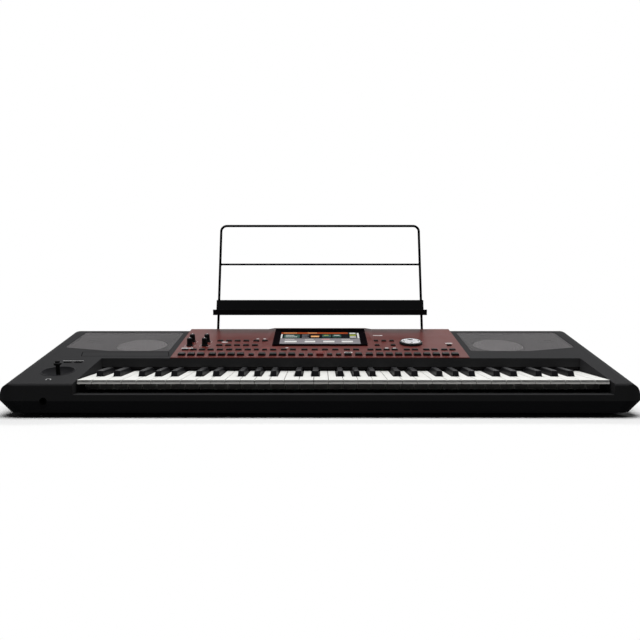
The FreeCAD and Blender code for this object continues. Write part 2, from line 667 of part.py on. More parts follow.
def make_bottom_case():
    """Lower shell: a tray with undercut sides, ribs for the key frame and posts for the circuit boards."""
    def tray(wall, z0, z1):
        low = rounded_outline(SIDE_UNDERCUT + wall, END_UNDERCUT + wall, z0)
        high = rounded_outline(wall, wall, z1)
        return Part.makeLoft([low, high], True, True)
    shell = tray(0, FOOT_HEIGHT, SEAM_HEIGHT).cut(tray(WALL, FLOOR_TOP, SEAM_HEIGHT + TOUCH))
    ribs = [block(KEYS_LEFT, KEYS_RIGHT, at(s), at(s + WALL), FOOT_HEIGHT + WALL / 2, SEAM_HEIGHT)
            for s in (FRAME_FRONT_SETBACK, PIVOT_SETBACK)]
    bosses = [rod(SCREW_BOSS_RADIUS, (x, at(s), FOOT_HEIGHT + WALL / 2), (x, at(s), SEAM_HEIGHT))
              for x, s in screw_places()]
    posts = [rod(3.0, (x, y, FOOT_HEIGHT + WALL / 2), (x, y, FLOOR_TOP + STANDOFF))
             for x, y in board_post_places()]
    shell = joined(shell, *ribs, *bosses, *posts)
    holes = [rod(SCREW_RADIUS + TOUCH, (x, at(s), 0), (x, at(s), SEAM_HEIGHT + 1.0))
             for x, s in screw_places()]
    heads = [rod(SCREW_HEAD_RADIUS + FIT, (x, at(s), 0), (x, at(s), FOOT_HEIGHT + SCREW_HEAD_HEIGHT + FIT))
             for x, s in screw_places()]
    return shell.cut(Part.makeCompound(holes)).cut(Part.makeCompound(heads)).cut(phones_notch())


def make_screws():
    """The screws that hold the two shells together, driven up from below."""
    head_foot = FOOT_HEIGHT + FIT
    head_top = head_foot + SCREW_HEAD_HEIGHT
    tip = SEAM_HEIGHT + SCREW_BITE - 1.0
    outline = [(0, head_foot), (SCREW_HEAD_RADIUS, head_foot), (SCREW_HEAD_RADIUS, head_top),
               (SCREW_RADIUS, head_top), (SCREW_RADIUS, tip - SCREW_RADIUS), (0, tip)]
    screw = turned(outline)
    return [moved(screw, x, at(s)) for x, s in screw_places()]


def make_feet():
    """Rubber feet under the lower shell."""
    chamfer = FOOT_RADIUS - FOOT_TOE
    foot = turned([(0, 0), (FOOT_TOE, 0), (FOOT_RADIUS, chamfer), (FOOT_RADIUS, FOOT_HEIGHT),
                   (0, FOOT_HEIGHT)])
    places = [(x, s) for x in (-FOOT_X, FOOT_X) for s in (FOOT_FRONT_SETBACK, FOOT_REAR_SETBACK)]
    places.append((MIDDLE_FOOT_X, FOOT_FRONT_SETBACK))
    return [moved(foot, x, at(s)) for x, s in places]


# Keys
SHARPS = {"C": True, "D": True, "E": False, "F": True, "G": True, "A": True, "B": False}
NATURALS = "CDEFGAB"


def tail_edges(octave_x, natural):
    """Left and right edge of a natural's tail, and of the sharp to its right if it has one.

    The tails of C to E share three key widths evenly with their two sharps, and those of F to B
    share four key widths with their three sharps.
    """
    index = NATURALS.index(natural)
    group_start, group_keys = (0, 3) if index < 3 else (3, 4)
    slot = group_keys * WHITE_PITCH / (2 * group_keys - 1)
    left = octave_x + group_start * WHITE_PITCH + 2 * (index - group_start) * slot
    return left, left + slot, left + 2 * slot


def key_plan():
    """Yield (note name, left head edge, right head edge, left tail edge, right tail edge) for each key."""
    for number in range(WHITE_COUNT):
        octave, index = divmod(number, len(NATURALS))
        octave_x = KEYS_LEFT + octave * len(NATURALS) * WHITE_PITCH
        natural = NATURALS[index]
        head = KEYS_LEFT + number * WHITE_PITCH
        left, right, sharp_right = tail_edges(octave_x, natural)
        last = number == WHITE_COUNT - 1
        if last:
            right = head + WHITE_PITCH
        yield natural, head, head + WHITE_PITCH, left, right
        if SHARPS[natural] and not last:
            yield natural + "_sharp", right, sharp_right, right, sharp_right


def pivot_block(middle, top):
    """The bored block at a key's rear that turns on the pivot rod."""
    y = at(PIVOT_SETBACK)
    body = block(middle - PIVOT_BLOCK_WIDTH / 2, middle + PIVOT_BLOCK_WIDTH / 2, y - PIVOT_BLOCK_HALF,
                 y + PIVOT_BLOCK_HALF, PIVOT_BLOCK_FOOT, top)
    bore = rod(PIVOT_RADIUS + PIVOT_CLEARANCE, (middle - WHITE_PITCH, y, PIVOT_HEIGHT),
               (middle + WHITE_PITCH, y, PIVOT_HEIGHT))
    return body, bore


def actuator(middle, top):
    """The rib inside a key that presses its rubber switch."""
    y = at(ACTUATOR_SETBACK)
    foot = WHITE_BODY_FOOT + 0.5
    return block(middle - ACTUATOR_WIDTH / 2, middle + ACTUATOR_WIDTH / 2, y - ACTUATOR_LENGTH / 2,
                 y + ACTUATOR_LENGTH / 2, foot, top)


def make_white_key(head_left, head_right, tail_left, tail_right):
    """A hollow natural: an overhanging front plate with a lip, a body behind it and a notched tail."""
    gap = KEY_GAP / 2
    x0, x1, t0, t1 = head_left + gap, head_right - gap, tail_left + gap, tail_right - gap
    front, notch = at(KEY_SETBACK), at(KEY_SETBACK + BLACK_SETBACK - KEY_GAP)
    rear = at(PIVOT_SETBACK + PIVOT_BLOCK_HALF)
    body_front, body_rear = at(KEY_SETBACK + WHITE_BODY_SETBACK), at(PIVOT_SETBACK) - PIVOT_BLOCK_HALF - 3.0
    under = WHITE_TOP - WHITE_PLATE
    tail = block(t0, t1, notch - 1.0, rear, under, WHITE_TOP)
    plate = block(x0, x1, front, notch, under, WHITE_TOP).fuse(tail)
    lip_foot, lip_step = WHITE_TOP - LIP_HEIGHT, WHITE_TOP - LIP_HEIGHT * 0.4
    lip = prism_x([(front, WHITE_TOP), (front, WHITE_TOP - 0.8), (front + LIP_UNDERCUT, lip_step),
                   (front, lip_foot), (front + LIP_DEPTH, lip_foot), (front + LIP_DEPTH, WHITE_TOP)], x0, x1)
    plate = plate.cut(block(x0, x1, front - 1.0, front + LIP_DEPTH / 2, 0, WHITE_TOP + 1.0)).fuse(lip)
    head_body = block(x0, x1, body_front, notch, WHITE_BODY_FOOT, under)
    tail_body = block(t0, t1, body_front, body_rear, WHITE_BODY_FOOT, under)
    hollow = block(t0 + KEY_SKIRT, t1 - KEY_SKIRT, body_front + KEY_SKIRT, body_rear - KEY_SKIRT, 0, under)
    middle = (t0 + t1) / 2
    pivot, bore = pivot_block(middle, under)
    body = head_body.fuse(tail_body).cut(hollow)
    apron = block(x0, x1, body_front, body_front + KEY_SKIRT, WHITE_APRON_FOOT, WHITE_BODY_FOOT + 1.0)
    return joined(plate, body, apron, actuator(middle, under), pivot).cut(bore)


def make_black_key(left, right):
    """A sharp: a raked, drafted cap on a hollow body."""
    gap = KEY_GAP
    x0, x1 = left + gap, right - gap
    front, cap_rear = at(KEY_SETBACK + BLACK_SETBACK), at(KEY_SETBACK + BLACK_SETBACK + BLACK_LENGTH)
    rear, body_rear = at(PIVOT_SETBACK + PIVOT_BLOCK_HALF), at(PIVOT_SETBACK) - PIVOT_BLOCK_HALF - 3.0
    cap_foot, cap_top = WHITE_TOP - WHITE_PLATE, WHITE_TOP + BLACK_RISE

    def ring(inset, rake, z, rear_edge):
        corners = [Vector(x0 + inset, front + rake, z), Vector(x1 - inset, front + rake, z),
                   Vector(x1 - inset, rear_edge, z), Vector(x0 + inset, rear_edge, z)]
        return Part.makePolygon(corners + corners[:1])
    edge, top_rear = 1.0, front + BLACK_TOP_LENGTH
    shoulder = ring(BLACK_DRAFT, BLACK_FRONT_RAKE, cap_top - edge, top_rear)
    cap = Part.makeLoft([ring(0, 0, cap_foot, cap_rear), shoulder], True, True)
    face = ring(BLACK_DRAFT + edge, BLACK_FRONT_RAKE + edge * 1.5, cap_top, top_rear - edge * 1.5)
    crown = Part.makeLoft([shoulder, face], True, True)
    under = cap_foot
    tail_plate = block(x0, x1, cap_rear - 8.0, rear, under, WHITE_TOP)
    body = block(x0, x1, front, body_rear, BLACK_FOOT, under)
    hollow = block(x0 + KEY_SKIRT, x1 - KEY_SKIRT, front + KEY_SKIRT, body_rear - KEY_SKIRT, 0, under)
    middle = (x0 + x1) / 2
    pivot, bore = pivot_block(middle, under)
    return joined(cap, crown, tail_plate, body.cut(hollow), actuator(middle, under), pivot).cut(bore)


def make_keys():
    """All keys by note name, and the middle of each key's tail."""
    keys, middles = {}, []
    for name, head_left, head_right, tail_left, tail_right in key_plan():
        sharp = name.endswith("_sharp")
        solid = (make_black_key(tail_left, tail_right) if sharp
                 else make_white_key(head_left, head_right, tail_left, tail_right))
        keys.setdefault("keys_" + name.lower(), []).append(solid)
        middles.append((tail_left + tail_right) / 2)
    return keys, middles


def rib_places():
    """X of the key frame's rod supports: both ends and between every octave."""
    octave = len(NATURALS) * WHITE_PITCH
    count = WHITE_COUNT // len(NATURALS)
    inner = [KEYS_LEFT + i * octave for i in range(1, count + 1)]
    return [KEYS_LEFT + RIB_WIDTH / 2, *inner, KEYS_RIGHT - RIB_WIDTH / 2]


def make_key_frame(middles):
    """Sheet frame under the keys with a guide post for each key and supports for the pivot rod."""
    front, rear = at(FRAME_FRONT_SETBACK), at(PIVOT_SETBACK + PIVOT_BLOCK_HALF + FRAME_TAIL)
    floor = block(KEYS_LEFT, KEYS_RIGHT, front, rear, SEAM_HEIGHT, FRAME_FLOOR)
    y = at(PIVOT_SETBACK)
    rib_top = PIVOT_HEIGHT + PIVOT_RADIUS + 2.0
    ribs = [block(x - RIB_WIDTH / 2, x + RIB_WIDTH / 2, y - 5.0, y + 5.0, SEAM_HEIGHT, rib_top)
            for x in rib_places()]
    guide_front = at(KEY_SETBACK + BLACK_SETBACK + KEY_SKIRT + 4.0)
    dip_there = KEY_DIP * (PIVOT_SETBACK - KEY_SETBACK - BLACK_SETBACK) / PIVOT_FROM_LIP
    guide_top = WHITE_TOP - WHITE_PLATE - dip_there - 1.0
    guides = [block(x - GUIDE_WIDTH / 2, x + GUIDE_WIDTH / 2, guide_front, guide_front + GUIDE_LENGTH,
                    SEAM_HEIGHT, guide_top) for x in middles]
    bores = [rod(PIVOT_RADIUS, (x - RIB_WIDTH, y, PIVOT_HEIGHT), (x + RIB_WIDTH, y, PIVOT_HEIGHT))
             for x in rib_places()]
    return joined(floor, *ribs, *guides).cut(Part.makeCompound(bores))


def make_springs(middles):
    """A leaf spring for each key, standing on the frame and reaching up under the key's tail."""
    foot, tip = at(PIVOT_SETBACK - 12.0), at(PIVOT_SETBACK - 30.0)
    tip_z = WHITE_TOP - WHITE_PLATE - 2.5
    t = SPRING_SHEET
    outline = [(foot, FRAME_FLOOR), (foot - 8.0, FRAME_FLOOR), (foot - 8.0, FRAME_FLOOR + t),
               (foot - 2 * t, FRAME_FLOOR + t), (tip, tip_z), (tip - 4.0, tip_z), (tip - 4.0, tip_z + t),
               (tip + t, tip_z + t), (foot, FRAME_FLOOR + 2 * t)]
    spring = prism_x(outline, -SPRING_WIDTH / 2, SPRING_WIDTH / 2)
    return [moved(spring, x) for x in middles]


def make_contacts(middles):
    """The contact board and its rubber strip of domes, one dome under each key's actuator rib."""
    y = at(ACTUATOR_SETBACK)
    board_top = FRAME_FLOOR + BOARD_SHEET
    board = block(KEYS_LEFT + 2, KEYS_RIGHT - 2, y - 16, y + 16, FRAME_FLOOR, board_top)
    strip_top = board_top + RUBBER_SHEET
    strip = block(KEYS_LEFT + 4, KEYS_RIGHT - 4, y - 8, y + 8, board_top, strip_top)
    dip_there = KEY_DIP * (PIVOT_SETBACK - ACTUATOR_SETBACK) / PIVOT_FROM_LIP
    dome_top = WHITE_BODY_FOOT - dip_there - FIT
    domes = [Part.makeCone(DOME_RADIUS, DOME_RADIUS * 0.7, dome_top - strip_top, Vector(x, y, strip_top))
             for x in middles]
    return board, joined(strip, *domes)


def make_stop_felt():
    """Felt strips: one stops the keys at the bottom of their dip, one keeps dust out under the fascia."""
    front = KEY_SETBACK + WHITE_BODY_SETBACK + KEY_SKIRT + FELT_BEHIND_APRON
    dip_there = KEY_DIP * (PIVOT_SETBACK - front) / PIVOT_FROM_LIP
    top = WHITE_BODY_FOOT - dip_there - FIT
    stop = block(KEYS_LEFT + 1, KEYS_RIGHT - 1, at(front), at(front) + FELT_LENGTH, FRAME_FLOOR, top)
    y = at(FASCIA_SETBACK) + DUST_FELT_INSET
    dust = block(KEYS_LEFT + 1, KEYS_RIGHT - 1, y, y + DUST_FELT_SHEET, WHITE_TOP + DUST_FELT_GAP, FASCIA_FOOT)
    return stop, dust


# Control panel
def button_hole(x, row_middle, width, length):
    """The opening that a button slides in, in its local frame."""
    half_x, half_y = width / 2 + FIT, length / 2 + FIT
    return block(x - half_x, x + half_x, row_middle - half_y, row_middle + half_y, -10.0, 10.0)


def make_button(width, length, height, sink=0.0):
    """A drafted button cap with the flange that keeps it under the panel, centred on its local origin.

    A negative sink lowers the flange for a plate thicker than the panel's.
    """
    flange_foot = FLANGE_FOOT + sink

    def ring(inset, w):
        x, y = width / 2 - inset, length / 2 - inset
        corners = [Vector(-x, -y, w), Vector(x, -y, w), Vector(x, y, w), Vector(-x, y, w)]
        return Part.makePolygon(corners + corners[:1])
    shank = block(-width / 2, width / 2, -length / 2, length / 2, flange_foot, FIT)
    cap = Part.makeLoft([ring(0, FIT), ring(BUTTON_DRAFT, height - BUTTON_DRAFT)], True, True)
    face = ring(2 * BUTTON_DRAFT, height)
    crown = Part.makeLoft([ring(BUTTON_DRAFT, height - BUTTON_DRAFT), face], True, True)
    half_x, half_y = width / 2 + BUTTON_FLANGE, length / 2 + BUTTON_FLANGE
    flange = block(-half_x, half_x, -half_y, half_y, flange_foot, FLANGE_TOP + sink)
    return joined(shank, cap, crown, flange)


def make_round_button():
    """A round button with a domed edge and a flange."""
    r, flange = ROUND_RADIUS, ROUND_RADIUS + BUTTON_FLANGE
    return turned([(0, FLANGE_FOOT), (flange, FLANGE_FOOT), (flange, FLANGE_TOP), (r, FLANGE_TOP),
                   (r, ROUND_HEIGHT - BUTTON_DRAFT), (r - BUTTON_DRAFT, ROUND_HEIGHT), (0, ROUND_HEIGHT)])


def button_groups():
    """Node name to (one button, places on the panel, width and length of its hole)."""
    def kind(button, runs, row, size, beside_display=False):
        middle = row + size[1] / 2
        return button, [(x, middle) for x in run_places(runs, size[0], beside_display)], size
    ring = (2 * ROUND_RADIUS, 2 * ROUND_RADIUS)
    pad, flat, small = make_button(*PAD_SIZE), make_button(*FLAT_SIZE), make_button(*SMALL_SIZE)
    return {
        "pad_buttons": [kind(pad, PAD_RUNS, PAD_ROW, PAD_SIZE)],
        "round_buttons": [kind(make_round_button(), ROUND_RUNS, PAD_ROW, ring)],
        "start_button": [kind(pad, START_RUNS, PAD_ROW, PAD_SIZE)],
        "row_two_buttons": [kind(flat, SECOND_RUNS, SECOND_ROW, FLAT_SIZE),
                            kind(small, SECOND_SMALL_RUNS, SECOND_ROW, SMALL_SIZE)],
        "style_buttons": [kind(flat, STYLE_THIRD_RUNS, THIRD_ROW, FLAT_SIZE, True),
                          kind(flat, STYLE_FOURTH_RUNS, FOURTH_ROW, FLAT_SIZE, True)],
        "menu_buttons": [kind(small, MENU_THIRD_RUNS, THIRD_ROW, SMALL_SIZE, True),
                         kind(small, MENU_FOURTH_RUNS, FOURTH_ROW, SMALL_SIZE, True)]}


def knob_places():
    """(u, v) of the four knobs on the panel."""
    return [(column * COLUMN - BEZEL_WIDTH / 2, row) for row in KNOB_ROWS for column in KNOB_COLUMNS]


def shaft_hole(x, y):
    """The hole in the panel for a knob's or the dial's shaft."""
    return rod(SHAFT_RADIUS + 1.0, (x, y, -20.0), (x, y, 10.0))


def board_posts():
    """(u, v) of the posts under the panel that carry its circuit board."""
    half = PANEL_WIDTH / 2 - PANEL_RIM - 6.0
    return [(x, y) for x in (-half, half) for y in (36.0, PANEL_LENGTH - 24.0)]


def make_control_panel(groups):
    """The raised panel: a plate with skirts, a plinth for the display and all its openings."""
    half = PANEL_WIDTH / 2
    front, rear = at(FASCIA_SETBACK), at(CREST_SETBACK)
    deck_front, deck_rear = deck_height(FASCIA_SETBACK), deck_height(CREST_SETBACK)
    side = [(front, deck_front), (rear, deck_rear), (rear, PANEL_REAR_Z), (front, PANEL_FRONT_Z)]
    wedge = prism_x(side, -half, half)
    inner_front, inner_rear = PANEL_RIM, PANEL_LENGTH - PANEL_SKIRT
    hollow = block(PANEL_SKIRT - half, half - PANEL_SKIRT, inner_front, inner_rear, -20.0, -PANEL_PLATE)
    run = PANEL_LENGTH - BEZEL_START
    ramp = prism_x([(BEZEL_START, 0), (PANEL_LENGTH, 0), (PANEL_LENGTH, PLINTH_RISE)], -half, half)
    flared = PLINTH_HALF_WIDTH + PLINTH_FLARE
    hump = prism_y([(-flared, -0.5), (flared, -0.5), (PLINTH_HALF_WIDTH, PLINTH_RISE),
                    (-PLINTH_HALF_WIDTH, PLINTH_RISE)], BEZEL_START, BEZEL_START + run)
    plinth = ramp.common(hump)
    posts = [rod(3.0, (x, y, BOARD_TOP), (x, y, -PANEL_PLATE / 2)) for x, y in board_posts()]
    panel = joined(wedge.cut(placed(hollow, PANEL)), *[placed(p, PANEL) for p in (plinth, *posts)])
    holes = [button_hole(x, y, size[0], size[1]) for kinds in groups.values() for _, places, size in kinds
             for x, y in places]
    holes += [shaft_hole(x, y) for x, y in knob_places()] + [shaft_hole(DIAL_X, DIAL_ROW)]
    cuts = [placed(h, PANEL) for h in holes]
    cuts.append(placed(display_window(LCD_WIDTH / 2 + GLASS_EDGE, LCD_FRONT - GLASS_EDGE,
                                      LCD_FRONT + LCD_LENGTH + GLASS_EDGE, -20.0, 20.0), DISPLAY))
    return panel.cut(Part.makeCompound(cuts))


def display_window(half, v0, v1, w0, w1):
    """A box in the display's frame, centred across the panel."""
    return block(-half, half, v0, v1, w0, w1)


def make_display():
    """Bezel, touch glass and screen module, stacked on the plinth."""
    bezel = display_window(BEZEL_WIDTH / 2, 0, BEZEL_LENGTH, TOUCH, BEZEL_SHEET)
    corners = [e for e in bezel.Edges if e.BoundBox.ZLength > BEZEL_SHEET / 2]
    bezel = bezel.makeFillet(BEZEL_CORNER_RADIUS, corners)
    glass_foot = BEZEL_SHEET - GLASS_SHEET
    half, end = BEZEL_WIDTH / 2 - GLASS_EDGE, BEZEL_LENGTH - GLASS_EDGE
    seat = display_window(half + TOUCH, GLASS_EDGE - TOUCH, end + TOUCH, glass_foot, BEZEL_SHEET + 1.0)
    screen_end = LCD_FRONT + LCD_LENGTH
    opening = display_window(LCD_WIDTH / 2 + FIT, LCD_FRONT - FIT, screen_end + FIT, -1.0, BEZEL_SHEET)
    glass = display_window(half, GLASS_EDGE, end, glass_foot, BEZEL_SHEET)
    module = display_window(LCD_WIDTH / 2, LCD_FRONT, screen_end, glass_foot - LCD_DEPTH, glass_foot)
    return [placed(s, DISPLAY) for s in (bezel.cut(seat).cut(opening), glass, module)]


def make_panel_board(groups):
    """The board under the panel: a switch below each button, a pot below each knob and the dial."""
    half = PANEL_WIDTH / 2 - PANEL_RIM - 2.0
    board = block(-half, half, PANEL_RIM + 3.0, PANEL_LENGTH - PANEL_RIM - 6.0, BOARD_FOOT, BOARD_TOP)
    solids = [placed(board, PANEL)]
    tact = block(-TACT_SIZE / 2, TACT_SIZE / 2, -TACT_SIZE / 2, TACT_SIZE / 2, BOARD_TOP, TACT_TOP)
    for kinds in groups.values():
        for _, places, _ in kinds:
            solids += [placed(moved(tact, x, y), PANEL) for x, y in places]
    pot_top = BOARD_TOP + POT_HEIGHT
    pot = block(-POT_SIZE / 2, POT_SIZE / 2, -POT_SIZE / 2, POT_SIZE / 2, BOARD_TOP, pot_top)
    pot = pot.cut(rod(SHAFT_RADIUS + SHAFT_CLEARANCE, (0, 0, BOARD_TOP + 1.0), (0, 0, pot_top + 1.0)))
    solids += [placed(moved(pot, x, y), PANEL) for x, y in [*knob_places(), (DIAL_X, DIAL_ROW)]]
    reach = switch_post_places()
    small = block(reach[0] - 3, reach[1] + 3, SWITCH_ALONG - 7, SWITCH_ALONG + 7, BOARD_FOOT, BOARD_TOP)
    on_deck = [small] + [moved(tact, x, SWITCH_ALONG) for x in SWITCH_X]
    return solids + [placed(moved(s, z=SWITCH_SINK), DECK) for s in on_deck]


def make_knob():
    """A fluted knob on a shaft that reaches down into its pot."""
    foot, top = KNOB_LIFT, KNOB_HEIGHT
    neck = foot + KNOB_SKIRT_HEIGHT
    body = turned([(0, foot), (KNOB_SKIRT_RADIUS, foot), (KNOB_SKIRT_RADIUS, foot + KNOB_SKIRT_HEIGHT * 0.6),
                   (KNOB_RADIUS, neck), (KNOB_RADIUS - 0.4, top - 0.8), (KNOB_RADIUS - 1.2, top), (0, top)])
    flute = rod(1.1, (KNOB_RADIUS + 0.55, 0, neck), (KNOB_RADIUS + 0.55, 0, top + 1.0))
    flutes = []
    for i in range(KNOB_FLUTES):
        turn = flute.copy()
        turn.rotate(Vector(), Z_AXIS, 360.0 * (i + 0.5) / KNOB_FLUTES)
        flutes.append(turn)
    shaft = rod(SHAFT_RADIUS, (0, 0, BOARD_TOP + 1.0 + FIT), (0, 0, foot + 1.0))
    return joined(body.cut(Part.makeCompound(flutes)), shaft)


def make_dial():
    """The data wheel: a skirted disc with a finger dimple and a shaft."""
    foot, top = KNOB_LIFT, DIAL_HEIGHT
    rim = DIAL_RADIUS
    face = DIAL_FACE_RADIUS
    disc = turned([(0, foot), (rim, foot), (rim, top - 3.4), (rim - 0.6, top - 2.4), (face + 0.6, top - 1.6),
                   (face, top - 0.4), (face - 0.6, top), (0, top)])
    ball = (DIAL_DIMPLE_RADIUS ** 2 + DIAL_DIMPLE_DEPTH ** 2) / (2 * DIAL_DIMPLE_DEPTH)
    dimple = Part.makeSphere(ball, Vector(0, DIAL_DIMPLE_OFFSET, top + ball - DIAL_DIMPLE_DEPTH))
    shaft = rod(SHAFT_RADIUS, (0, 0, BOARD_TOP + 1.0 + FIT), (0, 0, foot + 1.0))
    return joined(disc.cut(dimple), shaft)


# Joystick
def make_joystick():
    """Bowl, bracket, gimbal and stick, in a local frame centred on the bowl at the deck's surface."""
    rim, floor, foot = BOWL_RADIUS, -BOWL_DEPTH, -BOWL_DEPTH - BOWL_WALL
    lip, boss = 0.5, 20.0
    inner, hole = rim - 1.5, BOWL_HOLE
    hollow = Part.Arc(Vector(inner, 0, lip), Vector(inner * 0.8, 0, floor * 0.58), Vector(hole, 0, floor))
    edges = [
        hollow.toShape(),
        Part.makeLine(Vector(hole, 0, floor), Vector(hole, 0, foot)),
        Part.makeLine(Vector(hole, 0, foot), Vector(boss, 0, foot)),
        Part.makeLine(Vector(boss, 0, foot), Vector(rim, 0, -WALL - 1.0)),
        Part.makeLine(Vector(rim, 0, -WALL - 1.0), Vector(rim, 0, lip)),
        Part.makeLine(Vector(rim, 0, lip), Vector(inner, 0, lip))]
    bowl = Part.Face(Part.Wire(edges)).revolve(Vector(), Z_AXIS, 360)
    axis = -STICK_PIVOT_DEPTH
    leg0 = GIMBAL_HALF + BRACKET_GAP
    leg1 = leg0 + BRACKET_SHEET
    plate = axis - GIMBAL_HALF - BRACKET_GAP
    legs = [block(-8, 8, leg0, leg1, plate, foot), block(-8, 8, -leg1, -leg0, plate, foot)]
    bracket = joined(block(-12, 12, -leg1, leg1, plate - BRACKET_SHEET, plate), *legs)
    bracket = bracket.cut(rod(GIMBAL_PIN_RADIUS + SHAFT_CLEARANCE, (0, -leg1 - 1, axis), (0, leg1 + 1, axis)))
    half, thick = GIMBAL_HALF, GIMBAL_THICK / 2
    ring = block(-half, half, -half, half, axis - thick, axis + thick)
    window = block(-GIMBAL_WINDOW, GIMBAL_WINDOW, -GIMBAL_WINDOW, GIMBAL_WINDOW, axis - FAR, axis + FAR)
    pins = [rod(GIMBAL_PIN_RADIUS, (0, s * (half - 1), axis), (0, s * (leg1 - 0.5), axis)) for s in (-1, 1)]
    gimbal = joined(ring.cut(window), *pins)
    gimbal = gimbal.cut(rod(STICK_PIN_RADIUS + SHAFT_CLEARANCE, (-half - 1, 0, axis), (half + 1, 0, axis)))
    hub = 4.5
    crossbar = rod(STICK_PIN_RADIUS, (FIT - half, 0, axis), (half - FIT, 0, axis))
    collar_w = STICK_RISE - 6.5
    r, collar = STICK_RADIUS, STICK_COLLAR_RADIUS
    stem = turned([(0, axis), (r, axis), (r, collar_w - 2.5), (collar, collar_w), (collar, collar_w + 2.4),
                   (r + 0.6, collar_w + 3.2), (r + 0.4, STICK_RISE - 1.2), (r - 1.0, STICK_RISE),
                   (0, STICK_RISE)])
    stick = joined(stem, block(-hub, hub, -hub, hub, axis - hub, axis + hub), crossbar)
    frame = DECK.multiply(Placement(Vector(STICK_X, STICK_ALONG, 0), Rotation()))
    return [placed(s, frame) for s in (bowl, bracket, gimbal, stick)]


# Speakers
def make_speakers():
    """Grilles, woofer baskets, cones and tweeters, left and right."""
    grille = grille_prism(0, -GRILLE_DROP - GRILLE_SHEET, -GRILLE_DROP)
    foot = grille_prism(-2.0, -PAN_DEPTH, -GRILLE_DROP - GRILLE_SHEET / 2).cut(grille_prism(-4.0, -FAR, FAR))
    grille = joined(grille, foot)
    r, top = WOOFER_HOLE, BAFFLE_UNDER
    flange = r + WOOFER_FLANGE
    neck_w = top - WOOFER_DEPTH
    neck, magnet, magnet_top = WOOFER_NECK, MAGNET_RADIUS, neck_w - 3.0
    basket = turned([(r - 0.5, top), (flange, top), (flange, top - 2.0), (r + 2.0, top - 2.0),
                     (neck + 1.5, neck_w), (neck + 1.5, magnet_top), (magnet, magnet_top),
                     (magnet, magnet_top - MAGNET_HEIGHT), (0, magnet_top - MAGNET_HEIGHT),
                     (0, neck_w - 1.0), (neck - 1.0, neck_w - 1.0), (r - 0.5, top - 1.8)])
    t = CONE_SHEET
    edge, cap = r - 4.0, 15.0
    cone_w = neck_w + 8.0
    roll = top + 2.6
    cone = turned([(r - 0.6, top + t), (r - 2.3, roll), (edge, top + t), (cap, cone_w + t),
                   (cap * 0.6, cone_w + 5.0), (0, cone_w + 6.5), (0, cone_w + 6.5 - t),
                   (cap * 0.55, cone_w + 5.0 - t), (cap - 1.0, cone_w - t), (edge, top - t),
                   (r - 2.3, roll - t), (r - 0.6, top - t)])
    tr, tweeter_foot = TWEETER_RADIUS, top - TWEETER_DEPTH
    tweeter = turned([(0, tweeter_foot), (tr, tweeter_foot), (tr, top - 4.0), (tr + 4.0, top - 2.0),
                      (tr + 4.0, top), (tr - 1.0, top), (tr * 0.55, top - 5.0), (tr * 0.5, top - 3.0),
                      (0, top - 1.6)])
    woofer_at = (-WOOFER_X, WOOFER_ALONG)
    tweeter_at = (-TWEETER_X, TWEETER_ALONG)
    shapes = [grille, moved(basket, *woofer_at), moved(cone, *woofer_at), moved(tweeter, *tweeter_at)]
    return [[placed(s, DECK) for s in both_sides(shape)] for shape in shapes]


# Music stand
def make_stand():
    """Bent wire frame, welded crossbar, folded ledge and the two sockets that the legs drop into."""
    x, top, r = LEG_X, STAND_RISE, STAND_CORNER_RADIUS
    bend = r * (1 - math.sqrt(0.5))
    foot = -LEG_INSERT
    path = Part.Wire([
        Part.makeLine(Vector(-x, 0, foot), Vector(-x, 0, top - r)),
        Part.Arc(Vector(-x, 0, top - r), Vector(bend - x, 0, top - bend), Vector(r - x, 0, top)).toShape(),
        Part.makeLine(Vector(r - x, 0, top), Vector(x - r, 0, top)),
        Part.Arc(Vector(x - r, 0, top), Vector(x - bend, 0, top - bend), Vector(x, 0, top - r)).toShape(),
        Part.makeLine(Vector(x, 0, top - r), Vector(x, 0, foot))])
    section = Part.Wire(Part.makeCircle(WIRE_RADIUS, Vector(-x, 0, foot), Z_AXIS))
    frame = path.makePipeShell([section], True, False)
    weld = x - WIRE_RADIUS - TOUCH
    crossbar = rod(CROSSBAR_RADIUS, (-weld, 0, CROSSBAR_RISE), (weld, 0, CROSSBAR_RISE))
    back, shelf, t = -WIRE_RADIUS - TOUCH, LEDGE_RISE, LEDGE_SHEET
    front = back - LEDGE_SHELF
    low = shelf - LEDGE_DROP
    lip_top = low + LEDGE_LIP
    edge, back_top = front - LEDGE_FLARE, shelf + LEDGE_BACK
    fold = [(back, back_top), (back, shelf), (front, low), (edge, lip_top), (edge + t, lip_top + t / 3),
            (front + t * 0.7, low + t), (back - t, shelf + t), (back - t, back_top)]
    ledge = prism_x(fold, -LEDGE_WIDTH / 2, LEDGE_WIDTH / 2)
    bore = WIRE_RADIUS + SOCKET_CLEARANCE
    socket = turned([(0, -SOCKET_LENGTH), (SOCKET_RADIUS, -SOCKET_LENGTH), (SOCKET_RADIUS, 0), (bore, 0),
                     (bore, foot - TOUCH), (0, foot - TOUCH)])
    sockets = [placed(moved(socket, s * x), STAND) for s in (-1, 1)]
    return placed(frame, STAND), placed(crossbar, STAND), placed(ledge, STAND), sockets


# Rear panel and connectors
def cell_flange(left, width):
    """The plate that fills one connector's share of the bay, given the cell's left edge and width."""
    outer = at(CASE_DEPTH - FLANGE_DROP)
    return block(left + CELL_GAP, left + width - CELL_GAP, outer - CELL_FLANGE, outer, BAY_FOOT + CELL_GAP,
                 BAY_HEAD - CELL_GAP)


